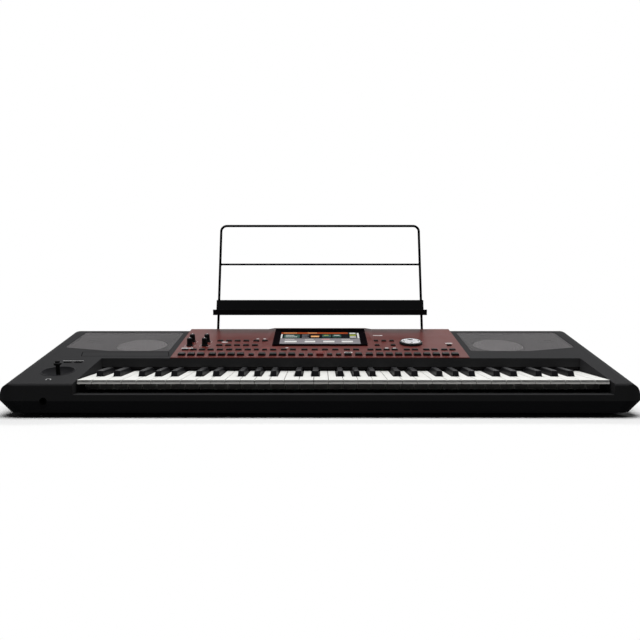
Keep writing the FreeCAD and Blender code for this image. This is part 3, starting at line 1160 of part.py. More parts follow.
def make_rear_panel():
    """The plates that close the rear of the case and frame one long bay for the connectors."""
    foot, head = SEAM_HEIGHT + TOUCH, REAR_WALL_TOP - REAR_PANEL_LAP - TOUCH
    half = REAR_PANEL_HALF - TOUCH

    def plate(left, right, low, high):
        return block(left, right, at(CASE_DEPTH - WALL), at(CASE_DEPTH), low, high)
    return [plate(-half, BAY_LEFT - TOUCH, foot, head), plate(BAY_RIGHT + TOUCH, half, foot, head),
            plate(BAY_LEFT, BAY_RIGHT, BAY_HEAD, head), plate(BAY_LEFT, BAY_RIGHT, foot, BAY_FOOT)]


def make_can(flange, x, size, wall, depth):
    """A box-shaped socket with an open mouth, sunk behind its flange."""
    outer = at(CASE_DEPTH - FLANGE_DROP)
    half_x, half_z = size[0] / 2, size[1] / 2
    low, high = BAY_MIDDLE - half_z, BAY_MIDDLE + half_z
    back = outer - depth
    shell = block(x - half_x - wall, x + half_x + wall, back - wall, outer, low - wall, high + wall)
    mouth = block(x - half_x, x + half_x, back, outer + 1.0, low, high)
    return joined(flange, shell).cut(mouth)


def make_inlet():
    """Mains inlet with the power button's opening in the same flange."""
    half_x, half_z = POWER_SIZE[0] / 2 + FIT, POWER_SIZE[1] / 2 + FIT
    opening = block(POWER_X - half_x, POWER_X + half_x, at(0), at(CASE_DEPTH), BAY_MIDDLE - half_z,
                    BAY_MIDDLE + half_z)
    inlet = make_can(cell_flange(BAY_LEFT, INLET_CELL), INLET_X, INLET_SIZE, INLET_WALL, INLET_DEPTH)
    return inlet.cut(opening)


def make_power_button():
    """A push button with chamfered edges and a flange behind the inlet's plate."""
    outer = at(CASE_DEPTH - FLANGE_DROP)
    inner = outer - CELL_FLANGE
    tip = outer + POWER_RISE
    half_x, half_z = POWER_SIZE[0] / 2, POWER_SIZE[1] / 2
    stem = inner - POWER_RISE
    cap = block(POWER_X - half_x, POWER_X + half_x, stem, tip, BAY_MIDDLE - half_z, BAY_MIDDLE + half_z)
    cap = cap.makeChamfer(0.8, [e for e in cap.Edges if e.BoundBox.YMin > tip - TOUCH])
    wide, tall = half_x + BUTTON_FLANGE, half_z + BUTTON_FLANGE
    flange = block(POWER_X - wide, POWER_X + wide, stem, inner - FIT, BAY_MIDDLE - tall, BAY_MIDDLE + tall)
    return joined(cap, flange)


def make_usb_ports():
    """The two data ports, each in its own cell."""
    ports = []
    for number, size in enumerate(USB_SIZES):
        left = USB_LEFT + number * USB_CELL
        ports.append(make_can(cell_flange(left, USB_CELL), left + USB_CELL / 2, size, USB_SHELL, USB_DEPTH))
    return ports


def make_midi_sockets():
    """Round data sockets: a ring, a groove for the plug's collar and a core."""
    outer = at(CASE_DEPTH - FLANGE_DROP)
    sockets = []
    for number in range(MIDI_COUNT):
        left = MIDI_LEFT + number * MIDI_CELL
        x = left + MIDI_CELL / 2

        def disc(radius, inner, face):
            return rod(radius, (x, outer - inner, BAY_MIDDLE), (x, outer + face, BAY_MIDDLE))
        body = joined(cell_flange(left, MIDI_CELL), disc(MIDI_RADIUS, 12.0, JACK_PROUD))
        groove = disc(MIDI_RADIUS - 1.6, 7.0, JACK_PROUD + 1.0)
        sockets.append(joined(body.cut(groove), disc(MIDI_RADIUS - 3.0, 8.0, JACK_PROUD - 0.8)))
    return sockets


def make_jack(flange, x, z, face, inward, bezel_radius, proud):
    """A phone socket: a bezel ring in front of its flange, a body behind it and a blind bore."""
    half = JACK_BODY / 2
    flange_rear = face + inward * CELL_FLANGE
    body_rear = flange_rear + inward * JACK_BORE_DEPTH
    low, high = sorted((flange_rear, body_rear))
    body = block(x - half, x + half, low, high, z - half, z + half)
    mouth = face - inward * proud
    bezel = rod(bezel_radius, (x, face + inward, z), (x, mouth, z))
    bore = rod(JACK_BORE, (x, mouth - inward, z), (x, mouth + inward * JACK_BORE_DEPTH, z))
    return joined(flange, body, bezel).cut(bore)


def make_audio_jacks():
    """The row of phone sockets in the rear bay."""
    jacks = []
    for number in range(JACK_COUNT):
        left = JACK_LEFT + number * JACK_CELL
        jacks.append(make_jack(cell_flange(left, JACK_CELL), left + JACK_CELL / 2, JACK_HEIGHT,
                               at(CASE_DEPTH - FLANGE_DROP), -1, JACK_BEZEL, JACK_PROUD))
    return jacks


def make_headphone_jack():
    """Headphone socket held in the seam of the front wall."""
    outline = [(PHONES_X + x, SEAM_HEIGHT + z) for x, z in octagon(PHONES_NECK)]
    neck = prism_y(outline, at(0), at(WALL + END_UNDERCUT))
    half, shoulder = JACK_BODY / 2, at(WALL + END_UNDERCUT)
    body = block(PHONES_X - half, PHONES_X + half, shoulder, shoulder + JACK_BORE_DEPTH, SEAM_HEIGHT - half,
                 SEAM_HEIGHT + half)
    mouth = at(-PHONES_PROUD)
    bezel = rod(PHONES_BEZEL, (PHONES_X, mouth, SEAM_HEIGHT), (PHONES_X, at(0), SEAM_HEIGHT))
    bore = rod(JACK_BORE, (PHONES_X, mouth - 1.0, SEAM_HEIGHT),
               (PHONES_X, mouth + JACK_BORE_DEPTH, SEAM_HEIGHT))
    return joined(neck, body, bezel).cut(bore)


# Inner modules
def board_post_places():
    """(x, y) of the posts that carry the main board."""
    length, width = MAIN_BOARD
    xs = (MAIN_BOARD_X - length / 2 + 8, MAIN_BOARD_X + length / 2 - 8)
    ys = (at(MAIN_BOARD_SETBACK + 8), at(MAIN_BOARD_SETBACK + width - 8))
    return [(x, y) for x in xs for y in ys]


def make_main_board():
    """The main circuit board with its processor's heat sink and a row of capacitors."""
    length, width = MAIN_BOARD
    x0, y0, z0 = MAIN_BOARD_X - length / 2, at(MAIN_BOARD_SETBACK), FLOOR_TOP + STANDOFF
    top = z0 + BOARD_SHEET
    board = block(x0, x0 + length, y0, y0 + width, z0, top)
    sink = block(x0 + 40, x0 + 80, y0 + 30, y0 + 70, top - 0.5, top + 4)
    fins = [block(x0 + 40 + i * 5, x0 + 42 + i * 5, y0 + 30, y0 + 70, top, top + 12) for i in range(8)]
    can = rod(4.0, (x0 + 120, y0 + 24, top - 0.5), (x0 + 120, y0 + 24, top + 11))
    cans = [moved(can, i * 14) for i in range(6)]
    return joined(board, sink, *fins, *cans)


def make_power_supply():
    """The vented mains supply box on the lower shell's floor."""
    length, width, height = SUPPLY
    x0, y0 = SUPPLY_X - length / 2, at(SUPPLY_SETBACK)
    body = block(x0, x0 + length, y0, y0 + width, FLOOR_TOP, FLOOR_TOP + height)
    slots = [block(x0 + 15 + i * 10, x0 + 19 + i * 10, y0 + 10, y0 + width - 10, FLOOR_TOP + height - 2,
                   FLOOR_TOP + height + 1) for i in range(9)]
    return body.cut(Part.makeCompound(slots))


def main():
    """Build every node and write its STEP file."""
    os.makedirs("parts", exist_ok=True)
    groups = button_groups()
    keys, middles = make_keys()

    save("top_case", make_top_case())
    save("bottom_case", make_bottom_case())
    save("case_screws", *make_screws())
    save("rubber_feet", *make_feet())

    for name, solids in keys.items():
        save(name, *solids)
    save("key_frame", make_key_frame(middles))
    pivot_ends = (KEYS_LEFT, at(PIVOT_SETBACK), PIVOT_HEIGHT), (KEYS_RIGHT, at(PIVOT_SETBACK), PIVOT_HEIGHT)
    save("key_pivot_rod", rod(PIVOT_RADIUS, *pivot_ends))
    save("key_return_springs", *make_springs(middles))
    contact_board, contact_rubber = make_contacts(middles)
    save("key_contact_board", contact_board)
    save("key_contact_rubber", contact_rubber)
    save("key_stop_felt", *make_stop_felt())

    save("control_panel", make_control_panel(groups))
    for name, kinds in groups.items():
        save(name, *[placed(moved(button, x, y), PANEL) for button, places, _ in kinds for x, y in places])
    save("panel_board", *make_panel_board(groups))
    for name, solid in zip(("display_bezel", "display_glass", "display_module"), make_display()):
        save(name, solid)
    knob = make_knob()
    for number, (x, y) in enumerate(knob_places(), 1):
        save(f"knob_{number}", placed(moved(knob, x, y), PANEL))
    save("data_dial", placed(moved(make_dial(), DIAL_X, DIAL_ROW), PANEL))

    names = ("joystick_bowl", "joystick_bracket", "joystick_gimbal", "joystick_stick")
    for name, solid in zip(names, make_joystick()):
        save(name, solid)
    switch = make_button(*SWITCH_SIZE, sink=SWITCH_SINK)
    save("assign_switches", *[placed(moved(switch, x, SWITCH_ALONG), DECK) for x in SWITCH_X])

    for name, solids in zip(("speaker_grilles", "woofers", "woofer_cones", "tweeters"), make_speakers()):
        save(name, *solids)

    frame, crossbar, ledge, sockets = make_stand()
    save("stand_frame", frame)
    save("stand_crossbar", crossbar)
    save("stand_ledge", ledge)
    save("stand_sockets", *sockets)

    save("rear_panel", *make_rear_panel())
    save("audio_jacks", *make_audio_jacks())
    save("midi_sockets", *make_midi_sockets())
    save("usb_ports", *make_usb_ports())
    save("power_inlet", make_inlet())
    save("power_button", make_power_button())
    save("headphone_jack", make_headphone_jack())
    save("main_board", make_main_board())
    save("power_supply", make_power_supply())


main()
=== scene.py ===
"""Looks of an arranger keyboard: finishes, visual pieces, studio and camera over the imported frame."""

import logging
import math
from dataclasses import dataclass, replace
from enum import Enum
from functools import cache
from typing import Any, Callable, Iterable, Sequence

import bpy
from mathutils import Color, Matrix, Vector


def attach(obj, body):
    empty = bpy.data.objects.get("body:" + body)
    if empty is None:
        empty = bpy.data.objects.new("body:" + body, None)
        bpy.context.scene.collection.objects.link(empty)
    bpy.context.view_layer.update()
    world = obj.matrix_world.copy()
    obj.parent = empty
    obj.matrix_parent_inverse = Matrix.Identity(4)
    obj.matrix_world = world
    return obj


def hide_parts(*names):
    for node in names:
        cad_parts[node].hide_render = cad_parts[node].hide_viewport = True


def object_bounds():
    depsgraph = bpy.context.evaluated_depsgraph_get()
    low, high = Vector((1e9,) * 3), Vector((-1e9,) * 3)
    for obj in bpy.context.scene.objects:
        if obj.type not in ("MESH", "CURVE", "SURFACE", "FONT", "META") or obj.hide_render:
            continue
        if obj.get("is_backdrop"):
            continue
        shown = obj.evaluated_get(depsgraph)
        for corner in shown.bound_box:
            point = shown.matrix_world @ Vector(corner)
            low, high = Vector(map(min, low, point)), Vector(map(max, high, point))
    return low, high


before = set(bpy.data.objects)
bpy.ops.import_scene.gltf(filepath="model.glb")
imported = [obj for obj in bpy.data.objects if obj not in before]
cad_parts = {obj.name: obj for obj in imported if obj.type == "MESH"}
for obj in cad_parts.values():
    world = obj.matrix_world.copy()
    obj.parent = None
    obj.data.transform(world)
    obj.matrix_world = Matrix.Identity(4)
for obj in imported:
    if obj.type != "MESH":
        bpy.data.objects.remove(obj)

LOG = logging.getLogger("arranger_keyboard")
MM = 0.001

Rgb = tuple[int, int, int]
Pair = tuple[float, float]
Triple = tuple[float, float, float]
Field = tuple[float, float, float, float]
FaceTest = Callable[[Vector, Vector], bool]
Piece = bpy.types.Object
Tree = bpy.types.NodeTree
Socket = bpy.types.NodeSocket


def linear(colour: Rgb) -> tuple[float, float, float, float]:
    """Turn a colour as a screen shows it into linear red, green, blue and an alpha of one."""
    shown = Color([part / 255.0 for part in colour])
    return (*shown.from_srgb_to_scene_linear(), 1.0)


class Relief(Enum):
    """The kinds of small surface relief a finish can have, each with its share of a cell pattern."""

    SMOOTH = None
    BRUSHED = 0.0
    PRESSED = 0.2
    FELTED = 0.3
    MOULDED = 0.6


class Pattern(Enum):
    """The kinds of drawn pattern a finish can have."""

    PLAIN = "plain"
    PERFORATED = "perforated"
    TRACKS = "tracks"


class Nodes:
    """Short ways to put nodes into a shader's tree."""

    @staticmethod
    def add(tree: Tree, kind: str, inputs: dict[str | int, Any] | None = None,
            **settings: Any) -> bpy.types.Node:
        """Add one node.

        Args:
            tree: the node tree that takes it.
            kind: type of the node, without the beginning that all shader nodes share.
            inputs: a socket or a value for each input, by the input's name or place.
            settings: properties of the node, which are set before its inputs.

        Returns:
            The node.
        """
        node = tree.nodes.new(f"ShaderNode{kind}")
        for name, value in settings.items():
            setattr(node, name, value)
        for name, value in (inputs or {}).items():
            if isinstance(value, Socket):
                tree.links.new(value, node.inputs[name])
            else:
                node.inputs[name].default_value = value
        return node

    @classmethod
    def math(cls, tree: Tree, operation: str, *values: Any) -> Socket:
        """Add one sum of numbers, each a socket or a number, and give the socket with the result."""
        return cls.add(tree, "Math", dict(enumerate(values)), operation=operation).outputs[0]

    @classmethod
    def vector(cls, tree: Tree, operation: str, *values: Any) -> Socket:
        """Add one sum of vectors and give the socket with the result, a number for LENGTH."""
        node = cls.add(tree, "VectorMath", dict(enumerate(values)), operation=operation)
        return node.outputs["Value" if operation == "LENGTH" else "Vector"]


class Groups:
    """The shader node groups that the finishes share. Each is made once."""

    KINDS = {"Vector": "NodeSocketVector", "Cell": "NodeSocketVector", "Colour": "NodeSocketColor"}
    OTHER_KIND = "NodeSocketFloat"
    TINT_DETAIL = 4.0
    RELIEF_DETAIL = 3.0
    NOISE_MIDDLE = 0.5
    TRACK_WIDTH = 0.05
    HALF = (0.5, 0.5, 0.5)
    MINUS_HALF = (-0.5, -0.5, -0.5)
    ON_SHEET = (1.0, 1.0, 0.0)

    @classmethod
    def start(cls, name: str, inputs: Sequence[str], outputs: Sequence[str]) -> tuple[Any, Any, Any]:
        """Make an empty node group with its sockets.

        Args:
            name: name of the group.
            inputs: names of its inputs.
            outputs: names of its outputs.

        Returns:
            The group, the sockets with what it is given and the sockets that take its results.
        """
        group = bpy.data.node_groups.new(name, "ShaderNodeTree")
        for side, labels in (("INPUT", inputs), ("OUTPUT", outputs)):
            for label in labels:
                kind = cls.KINDS.get(label, cls.OTHER_KIND)
                group.interface.new_socket(label, in_out=side, socket_type=kind)
        return group, group.nodes.new("NodeGroupInput").outputs, group.nodes.new("NodeGroupOutput").inputs

    @classmethod
    @cache
    def tint(cls) -> Tree:
        """Make slow changes of colour and roughness over a surface.

        Returns:
            The node group.
        """
        group, given, result = cls.start(
            "surface_tint",
            ("Vector", "Colour", "Scale", "Amount", "Roughness", "Spread"),
            ("Colour", "Roughness"),
        )
        place = {"Vector": given["Vector"], "Scale": given["Scale"]}
        noise = Nodes.add(group, "TexNoise", place | {"Detail": cls.TINT_DETAIL})
        swing = Nodes.math(group, "SUBTRACT", noise.outputs[0], cls.NOISE_MIDDLE)
        shift = Nodes.math(group, "MULTIPLY", swing, given["Amount"])
        value = Nodes.math(group, "ADD", shift, 1.0)
        shade = Nodes.add(group, "HueSaturation", {"Value": value, "Color": given["Colour"]})
        group.links.new(shade.outputs["Color"], result["Colour"])
        spread = Nodes.math(group, "MULTIPLY", swing, given["Spread"])
        rough = Nodes.math(group, "ADD", spread, given["Roughness"])
        group.links.new(rough, result["Roughness"])
        return group

    @classmethod
    @cache
    def relief(cls) -> Tree:
        """Make fine relief from a cell pattern and a cloud pattern.

        Returns:
            The node group.
        """
        group, given, result = cls.start("surface_relief", ("Vector", "Scale", "Cells"), ("Height",))
        place = {"Vector": given["Vector"], "Scale": given["Scale"]}
        cells = Nodes.add(group, "TexVoronoi", place)
        clouds = Nodes.add(group, "TexNoise", place | {"Detail": cls.RELIEF_DETAIL})
        part = Nodes.math(group, "MULTIPLY", cells.outputs["Distance"], given["Cells"])
        rest = Nodes.math(group, "SUBTRACT", 1.0, given["Cells"])
        cloud = Nodes.math(group, "MULTIPLY", clouds.outputs[0], rest)
        group.links.new(Nodes.math(group, "ADD", part, cloud), result["Height"])
        return group

    @classmethod
    @cache
    def perforation(cls) -> Tree:
        """Make round holes on a staggered grid.

        Returns:
            The node group, whose mask is one on the sheet and nought in a hole.
        """
        group, given, result = cls.start("sheet_perforation", ("Vector", "Cell", "Radius"), ("Mask",))
        high = Nodes.vector(group, "MULTIPLY", given["Cell"], cls.HALF)
        low = Nodes.vector(group, "MULTIPLY", given["Cell"], cls.MINUS_HALF)
        moved = Nodes.vector(group, "ADD", given["Vector"], high)
        lengths = []
        for source in (given["Vector"], moved):
            wrapped = Nodes.vector(group, "WRAP", source, high, low)
            flat = Nodes.vector(group, "MULTIPLY", wrapped, cls.ON_SHEET)
            lengths.append(Nodes.vector(group, "LENGTH", flat))
        nearest = Nodes.math(group, "MINIMUM", *lengths)
        mask = Nodes.math(group, "GREATER_THAN", nearest, given["Radius"])
        group.links.new(mask, result["Mask"])
        return group

    @classmethod
    @cache
    def tracks(cls) -> Tree:
        """Make the tracks of a printed board.

        Returns:
            The node group, whose mask is one on a track.
        """
        group, given, result = cls.start("board_tracks", ("Vector", "Scale"), ("Mask",))
        place = {"Vector": given["Vector"], "Scale": given["Scale"]}
        brick = Nodes.add(group, "TexBrick", place | {"Mortar Size": cls.TRACK_WIDTH})
        group.links.new(brick.outputs["Fac"], result["Mask"])
        return group


@dataclass(frozen=True)
class Finish:
    """One surface finish of the object, turned into a material on demand, with sizes in mm.

    Attributes:
        slot: the record's material slot, not used.
        tint: how far the colour's brightness swings over the surface.
        spread: how far the roughness swings with it.
        relief: kind, scale and depth of the fine relief.
        second: second colour of a pattern.
        cell: width and length of a cell of the perforation.
        hole: radius of its holes.
        slope: slope in degrees of the sheet that a pattern lies on.
        edge: radius by which edges are shaded as rounded.
    """

    name: str
    slot: str
    colour: Rgb
    roughness: float
    metallic: float = 0.0
    specular: float = 0.0
    tint: float = 0.12
    tint_scale: float = 35.0
    spread: float = 0.12
    relief: tuple[Relief, float, float] = (Relief.SMOOTH, 0.0, 0.0)
    relief_strength: float = 0.5
    pattern: Pattern = Pattern.PLAIN
    second: Rgb = (0, 0, 0)
    cell: Pair = (1.9, 3.29)
    hole: float = 0.68
    track_scale: float = 60.0
    slope: float = 0.0
    alpha: float = 1.0
    glow: float = 0.0
    edge: float = 0.0
    edge_samples: int = 4

    @cache
    def material(self) -> bpy.types.Material:
        """Give the material of this finish, made the first time it is asked for.

        Returns:
            The material.
        """
        made = bpy.data.materials.new(f"look_{self.name}")
        made.use_nodes = True
        tree = made.node_tree
        shader = tree.nodes["Principled BSDF"]
        shader.inputs["Metallic"].default_value = self.metallic
        shader.inputs["Specular IOR Level"].default_value = self.specular
        shader.inputs["Alpha"].default_value = self.alpha
        place = Nodes.add(tree, "TexCoord").outputs["Object"]
        rotation = (math.radians(-self.slope), 0.0, 0.0)
        where = Nodes.add(tree, "Mapping", {"Vector": place, "Rotation": rotation}).outputs["Vector"]
        self._colour(tree, shader, where)
        self._relief(tree, shader, where)
        LOG.info("finish %s made", self.name)
        return made

    def _colour(self, tree: Tree, shader: bpy.types.Node, where: Socket) -> None:
        """Link colour, roughness, glow and pattern.

        Args:
            tree: node tree of the material.
            shader: the material's shader.
            where: socket with the place on the surface.
        """
        tint = Nodes.add(tree, "Group", {
            "Vector": where, "Colour": linear(self.colour), "Scale": self.tint_scale, "Amount": self.tint,
            "Roughness": self.roughness, "Spread": self.spread,
        }, node_tree=Groups.tint())
        tree.links.new(tint.outputs["Roughness"], shader.inputs["Roughness"])
        colour = tint.outputs["Colour"]
        if self.pattern is Pattern.TRACKS:
            tracks = Nodes.add(tree, "Group", {"Vector": where, "Scale": self.track_scale},
                               node_tree=Groups.tracks())
            mix = Nodes.add(tree, "Mix", {
                "Factor": tracks.outputs["Mask"], "A": colour, "B": linear(self.second),
            }, data_type="RGBA")
            colour = mix.outputs["Result"]
        if self.pattern is Pattern.PERFORATED:
            cell = (self.cell[0] * MM, self.cell[1] * MM, 1.0)
            holes = Nodes.add(tree, "Group", {"Vector": where, "Cell": cell, "Radius": self.hole * MM},
                              node_tree=Groups.perforation())
            tree.links.new(holes.outputs["Mask"], shader.inputs["Alpha"])
        tree.links.new(colour, shader.inputs["Base Color"])
        if self.glow > 0.0:
            tree.links.new(colour, shader.inputs["Emission Color"])
            shader.inputs["Emission Strength"].default_value = self.glow

    def _relief(self, tree: Tree, shader: bpy.types.Node, where: Socket) -> None:
        """Link the rounded edges and the fine relief.

        Args:
            tree: node tree of the material.
            shader: the material's shader.
            where: socket with the place on the surface.
        """
        normal = {}
        if self.edge > 0.0:
            rounded = Nodes.add(tree, "Bevel", {"Radius": self.edge * MM}, samples=self.edge_samples)
            normal = {"Normal": rounded.outputs["Normal"]}
        kind, scale, depth = self.relief
        if kind is not Relief.SMOOTH:
            inputs = {"Vector": where, "Scale": scale, "Cells": kind.value}
            fine = Nodes.add(tree, "Group", inputs, node_tree=Groups.relief())
            bump = Nodes.add(tree, "Bump", normal | {
                "Height": fine.outputs["Height"], "Strength": self.relief_strength, "Distance": depth * MM,
            })
            normal = {"Normal": bump.outputs["Normal"]}
        for name, socket in normal.items():
            tree.links.new(socket, shader.inputs[name])


class Looks:
    """All finishes of the object."""

    CASE = Finish("case_black", "case_black", (50, 50, 51), 0.6, specular=0.004, edge=0.8,
                  relief=(Relief.MOULDED, 1400.0, 0.06))
    LOWER = replace(CASE, name="case_lower", slot="case_lower", colour=(39, 39, 41), roughness=0.65, edge=0.6)
    PANEL = Finish("panel_burgundy", "panel_burgundy", (87, 37, 33), 0.36, specular=0.04,
                   tint=0.08, edge=0.6)
    WHITE_KEY = Finish("key_white", "key_white", (232, 232, 228), 0.4, specular=0.1, tint=0.03, spread=0.06)
    # Painted shade: a darker white for the white keys' body fronts, standing in for the shade under the key
    # plates.
    KEY_FRONT_SHADE = Finish("key_front_shade", "key_white", (195, 195, 192), 0.6, specular=0.02, tint=0.03, spread=0.06)
    BLACK_KEY = Finish("key_black", "key_black", (16, 16, 18), 0.38, specular=0.05)
    GRILLE = Finish("grille_grey", "grille_grey", (103, 101, 102), 0.6, specular=0.03,
                    pattern=Pattern.PERFORATED, slope=10.2)
    GLASS = Finish("cover_glass", "glass", (12, 12, 13), 0.12, alpha=0.08)
    BEZEL = Finish("bezel_black", "bezel_black", (18, 14, 17), 0.4, edge=0.8)
    BUTTON = Finish("button_black", "button_black", (20, 20, 20), 0.45, specular=0.05)
    RED = Finish("button_red", "button_red", (80, 23, 23), 0.45, specular=0.04)
    SILVER = Finish("dial_silver", "dial_silver", (232, 232, 235), 0.3, metallic=0.7, specular=0.3,
                    relief=(Relief.BRUSHED, 500.0, 0.02))
    WIRE = Finish("wire_black", "wire_black", (11, 11, 12), 0.6)
    LEDGE = Finish("ledge_black", "wire_black", (23, 23, 24), 0.6, specular=0.005, edge=0.5)
    STEEL = Finish("bare_steel", "steel", (150, 150, 152), 0.35, metallic=1.0, specular=0.3,
                   relief=(Relief.BRUSHED, 700.0, 0.02))
    FRAME = Finish("plated_frame", "frame_steel", (128, 128, 124), 0.45, metallic=1.0, specular=0.3)
    COATED = Finish("coated_frame", "frame_steel", (22, 22, 23), 0.7, specular=0.01)
    CONE = Finish("cone_paper", "cone_paper", (204, 200, 201), 0.8, specular=0.05,
                  relief=(Relief.PRESSED, 900.0, 0.1))
    # Felt of the key stops; the same dark finish is also painted shade for the pin holes of the round
    # sockets.
    FELT_AND_HOLE_SHADE = Finish("stop_felt", "felt", (29, 28, 29), 0.95, relief=(Relief.FELTED, 1800.0, 0.3))
    RUBBER = Finish("foot_rubber", "rubber", (24, 24, 24), 0.85, specular=0.03,
                    relief=(Relief.MOULDED, 1100.0, 0.08))
    CONTACT = Finish("contact_rubber", "rubber_grey", (105, 106, 104), 0.8, specular=0.1)
    BOARD = Finish("printed_board", "board_green", (22, 74, 44), 0.45, specular=0.3,
                   pattern=Pattern.TRACKS, second=(40, 110, 66))
    SOCKET = Finish("socket_black", "socket_black", (22, 22, 23), 0.5, specular=0.03)
    JACK = Finish("jack_metal", "jack_metal", (176, 176, 178), 0.28, metallic=1.0, specular=0.3)
    SCREEN = Finish("screen_dark", "screen", (26, 28, 30), 0.3, glow=0.28)
    PLASTIC = Finish("frame_plastic", "frame_plastic", (42, 42, 44), 0.6, specular=0.02,
                     relief=(Relief.MOULDED, 1200.0, 0.05))
    TONGUE = Finish("contact_plastic", "socket_black", (205, 205, 200), 0.5, specular=0.2)
    # The headphone jack's black, darkened further with painted shade so that its bezel reads as the dark of
    # its hole.
    JACK_BLACK_AND_HOLE_SHADE = Finish("jack_black_and_hole_shade", "socket_black", (9, 9, 9), 0.7)
    DARK_PRINT = Finish("dark_print", "case_black", (18, 18, 18), 0.6)
    PRINT = Finish("white_print", "panel_burgundy", (239, 239, 239), 0.6)
    RED_PRINT = Finish("red_print", "panel_burgundy", (151, 85, 80), 0.6)
    DIM_PRINT = Finish("grey_print", "case_black", (194, 194, 194), 0.6)


class Bench:
    """The modelling bench: picking, shaping and settling of new pieces, with sizes in mm and degrees."""

    SEGMENTS = 2
    BAR_SIDES = 8
    UPWARD = 0.9
    WELD_WITHIN = 0.01
    MERGE_WITHIN = 0.5
    SOFTEN_BEYOND = 35.0
    SMOOTH_WITHIN = 30.0

    @staticmethod
    def pick(*pieces: Piece) -> None:
        """Select these pieces alone, the first one active.

        Args:
            pieces: what is to be selected.
        """
        bpy.ops.object.select_all(action="DESELECT")
        for piece in pieces:
            piece.select_set(True)
        bpy.context.view_layer.objects.active = pieces[0]

    @classmethod
    def faces(cls, piece: Piece, test: FaceTest | None = None) -> None:
        """Enter edit mode with all faces selected, or with those that a test picks.

        Args:
            piece: the piece.
            test: takes a face's centre and normal.
        """
        cls.pick(piece)
        bpy.context.tool_settings.mesh_select_mode = (False, False, True)
        bpy.ops.object.mode_set(mode="EDIT")
        bpy.ops.mesh.select_all(action="DESELECT")
        cls.leave()
        for face in piece.data.polygons:
            face.select = test is None or test(face.center, face.normal)
        bpy.ops.object.mode_set(mode="EDIT")

    @staticmethod
    def leave() -> None:
        """Leave edit mode."""
        bpy.ops.object.mode_set(mode="OBJECT")

    @staticmethod
    def start(name: str) -> Piece:
        """Name the active piece and its mesh, and give the piece."""
        bpy.context.object.name = bpy.context.object.data.name = name
        return bpy.context.object

    @classmethod
    def copies(cls, piece: Piece, places: Iterable[Matrix]) -> Piece:
        """Set copies of one piece at several places and join them.

        Args:
            piece: the piece that is copied and then taken away.
            places: one matrix for each copy.

        Returns:
            The joined piece under the same name, at the origin, with its places in its mesh.
        """
        name = piece.name
        made = []
        for place in places:
            twin = piece.copy()
            twin.data = piece.data.copy()
            bpy.context.collection.objects.link(twin)
            twin.matrix_world = place
            made.append(twin)
        cls.pick(piece)
        bpy.ops.object.delete()
        cls.pick(*made)
        bpy.ops.object.transform_apply(location=True, rotation=True, scale=True)
        if len(made) > 1:
            bpy.ops.object.join()
        return cls.start(name)

    @classmethod
    def softened(cls, node: str, edge: float) -> Piece:
        """Copy a CAD node and soften its edges.

        Args:
            node: name of the CAD node.
            edge: width of the softened edges.

        Returns:
            The new piece, which stands for the node.
        """
        piece = bpy.data.objects.new(f"{node}_soft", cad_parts[node].data.copy())
        bpy.context.collection.objects.link(piece)
        piece.data.materials.clear()
        cls.pick(piece)
        bpy.ops.mesh.customdata_custom_splitnormals_clear()
        cls.faces(piece)
        bpy.ops.mesh.remove_doubles(threshold=cls.WELD_WITHIN * MM)
        bpy.ops.mesh.dissolve_limited(angle_limit=math.radians(cls.MERGE_WITHIN))
        bpy.ops.mesh.normals_make_consistent(inside=False)
        cls.leave()
        bevel = piece.modifiers.new("soft_edges", "BEVEL")
        bevel.width = edge * MM
        bevel.segments = cls.SEGMENTS
        bevel.limit_method = "ANGLE"
        bevel.angle_limit = math.radians(cls.SOFTEN_BEYOND)
        bpy.ops.object.modifier_apply(modifier=bevel.name)
        bpy.ops.object.shade_smooth_by_angle(angle=math.radians(cls.SMOOTH_WITHIN))
        flat = piece.modifiers.new("flat_faces", "WEIGHTED_NORMAL")
        flat.keep_sharp = True
        bpy.ops.object.modifier_apply(modifier=flat.name)
        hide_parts(node)
        LOG.info("piece %s softened, %d faces", piece.name, len(piece.data.polygons))
        return piece

    @classmethod
    def two_tone(cls, piece: Piece, first: Finish, second: Finish, test: FaceTest,
                 border: float = 0.0) -> None:
        """Give a piece two finishes.

        Args:
            piece: the piece.
            first: the finish of the whole.
            second: the finish of the faces that the test picks.
            test: takes a face's centre and normal.
            border: width along those faces' edges that keeps the first finish.
        """
        for finish in (first, second):
            piece.data.materials.append(finish.material())
        cls.faces(piece, test)
        if border > 0.0:
            bpy.ops.mesh.inset(thickness=border * MM, use_individual=True)
        piece.active_material_index = 1
        bpy.ops.object.material_slot_assign()
        cls.leave()

    @staticmethod
    def hand_over(piece: Piece, finish: Finish, body: str) -> None:
        """Give a piece its finish and the body it rides on.

        Args:
            piece: the finished shape.
            finish: its finish.
            body: name of the CAD body.
        """
        if not piece.data.materials:
            piece.data.materials.append(finish.material())
        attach(piece, body)
        LOG.info("piece %s rides on %s", piece.name, body)

    @classmethod
    def set_out(cls, piece: Piece, places: Iterable[Matrix], finish: Finish, body: str = "case") -> None:
        """Set copies of one piece at several places and hand them over as one, on one body."""
        cls.hand_over(cls.copies(piece, places), finish, body)

    @classmethod
    def stand_in(cls, finish: Finish, edge: float, *nodes: str) -> None:
        """Put softened copies in the place of CAD nodes that are bodies of their own."""
        for node in nodes:
            cls.hand_over(cls.softened(node, edge), finish, node)


@dataclass(frozen=True)
class Block:
    """A block that stands on the plane w = 0: its size and the width of its softened edges, in mm."""

    size: Triple
    edge: float

    def make(self, name: str) -> Piece:
        """Model the block.

        Args:
            name: name of the piece.

        Returns:
            The piece, at the origin.
        """
        bpy.ops.mesh.primitive_cube_add(size=1.0, location=(0.0, 0.0, 0.0))
        piece = Bench.start(name)
        Bench.faces(piece)
        bpy.ops.transform.resize(value=tuple(s * MM for s in self.size))
        bpy.ops.transform.translate(value=(0.0, 0.0, self.size[2] * MM / 2.0))
        bpy.ops.mesh.bevel(offset=self.edge * MM, segments=Bench.SEGMENTS, affect="EDGES")
        Bench.leave()
        return piece


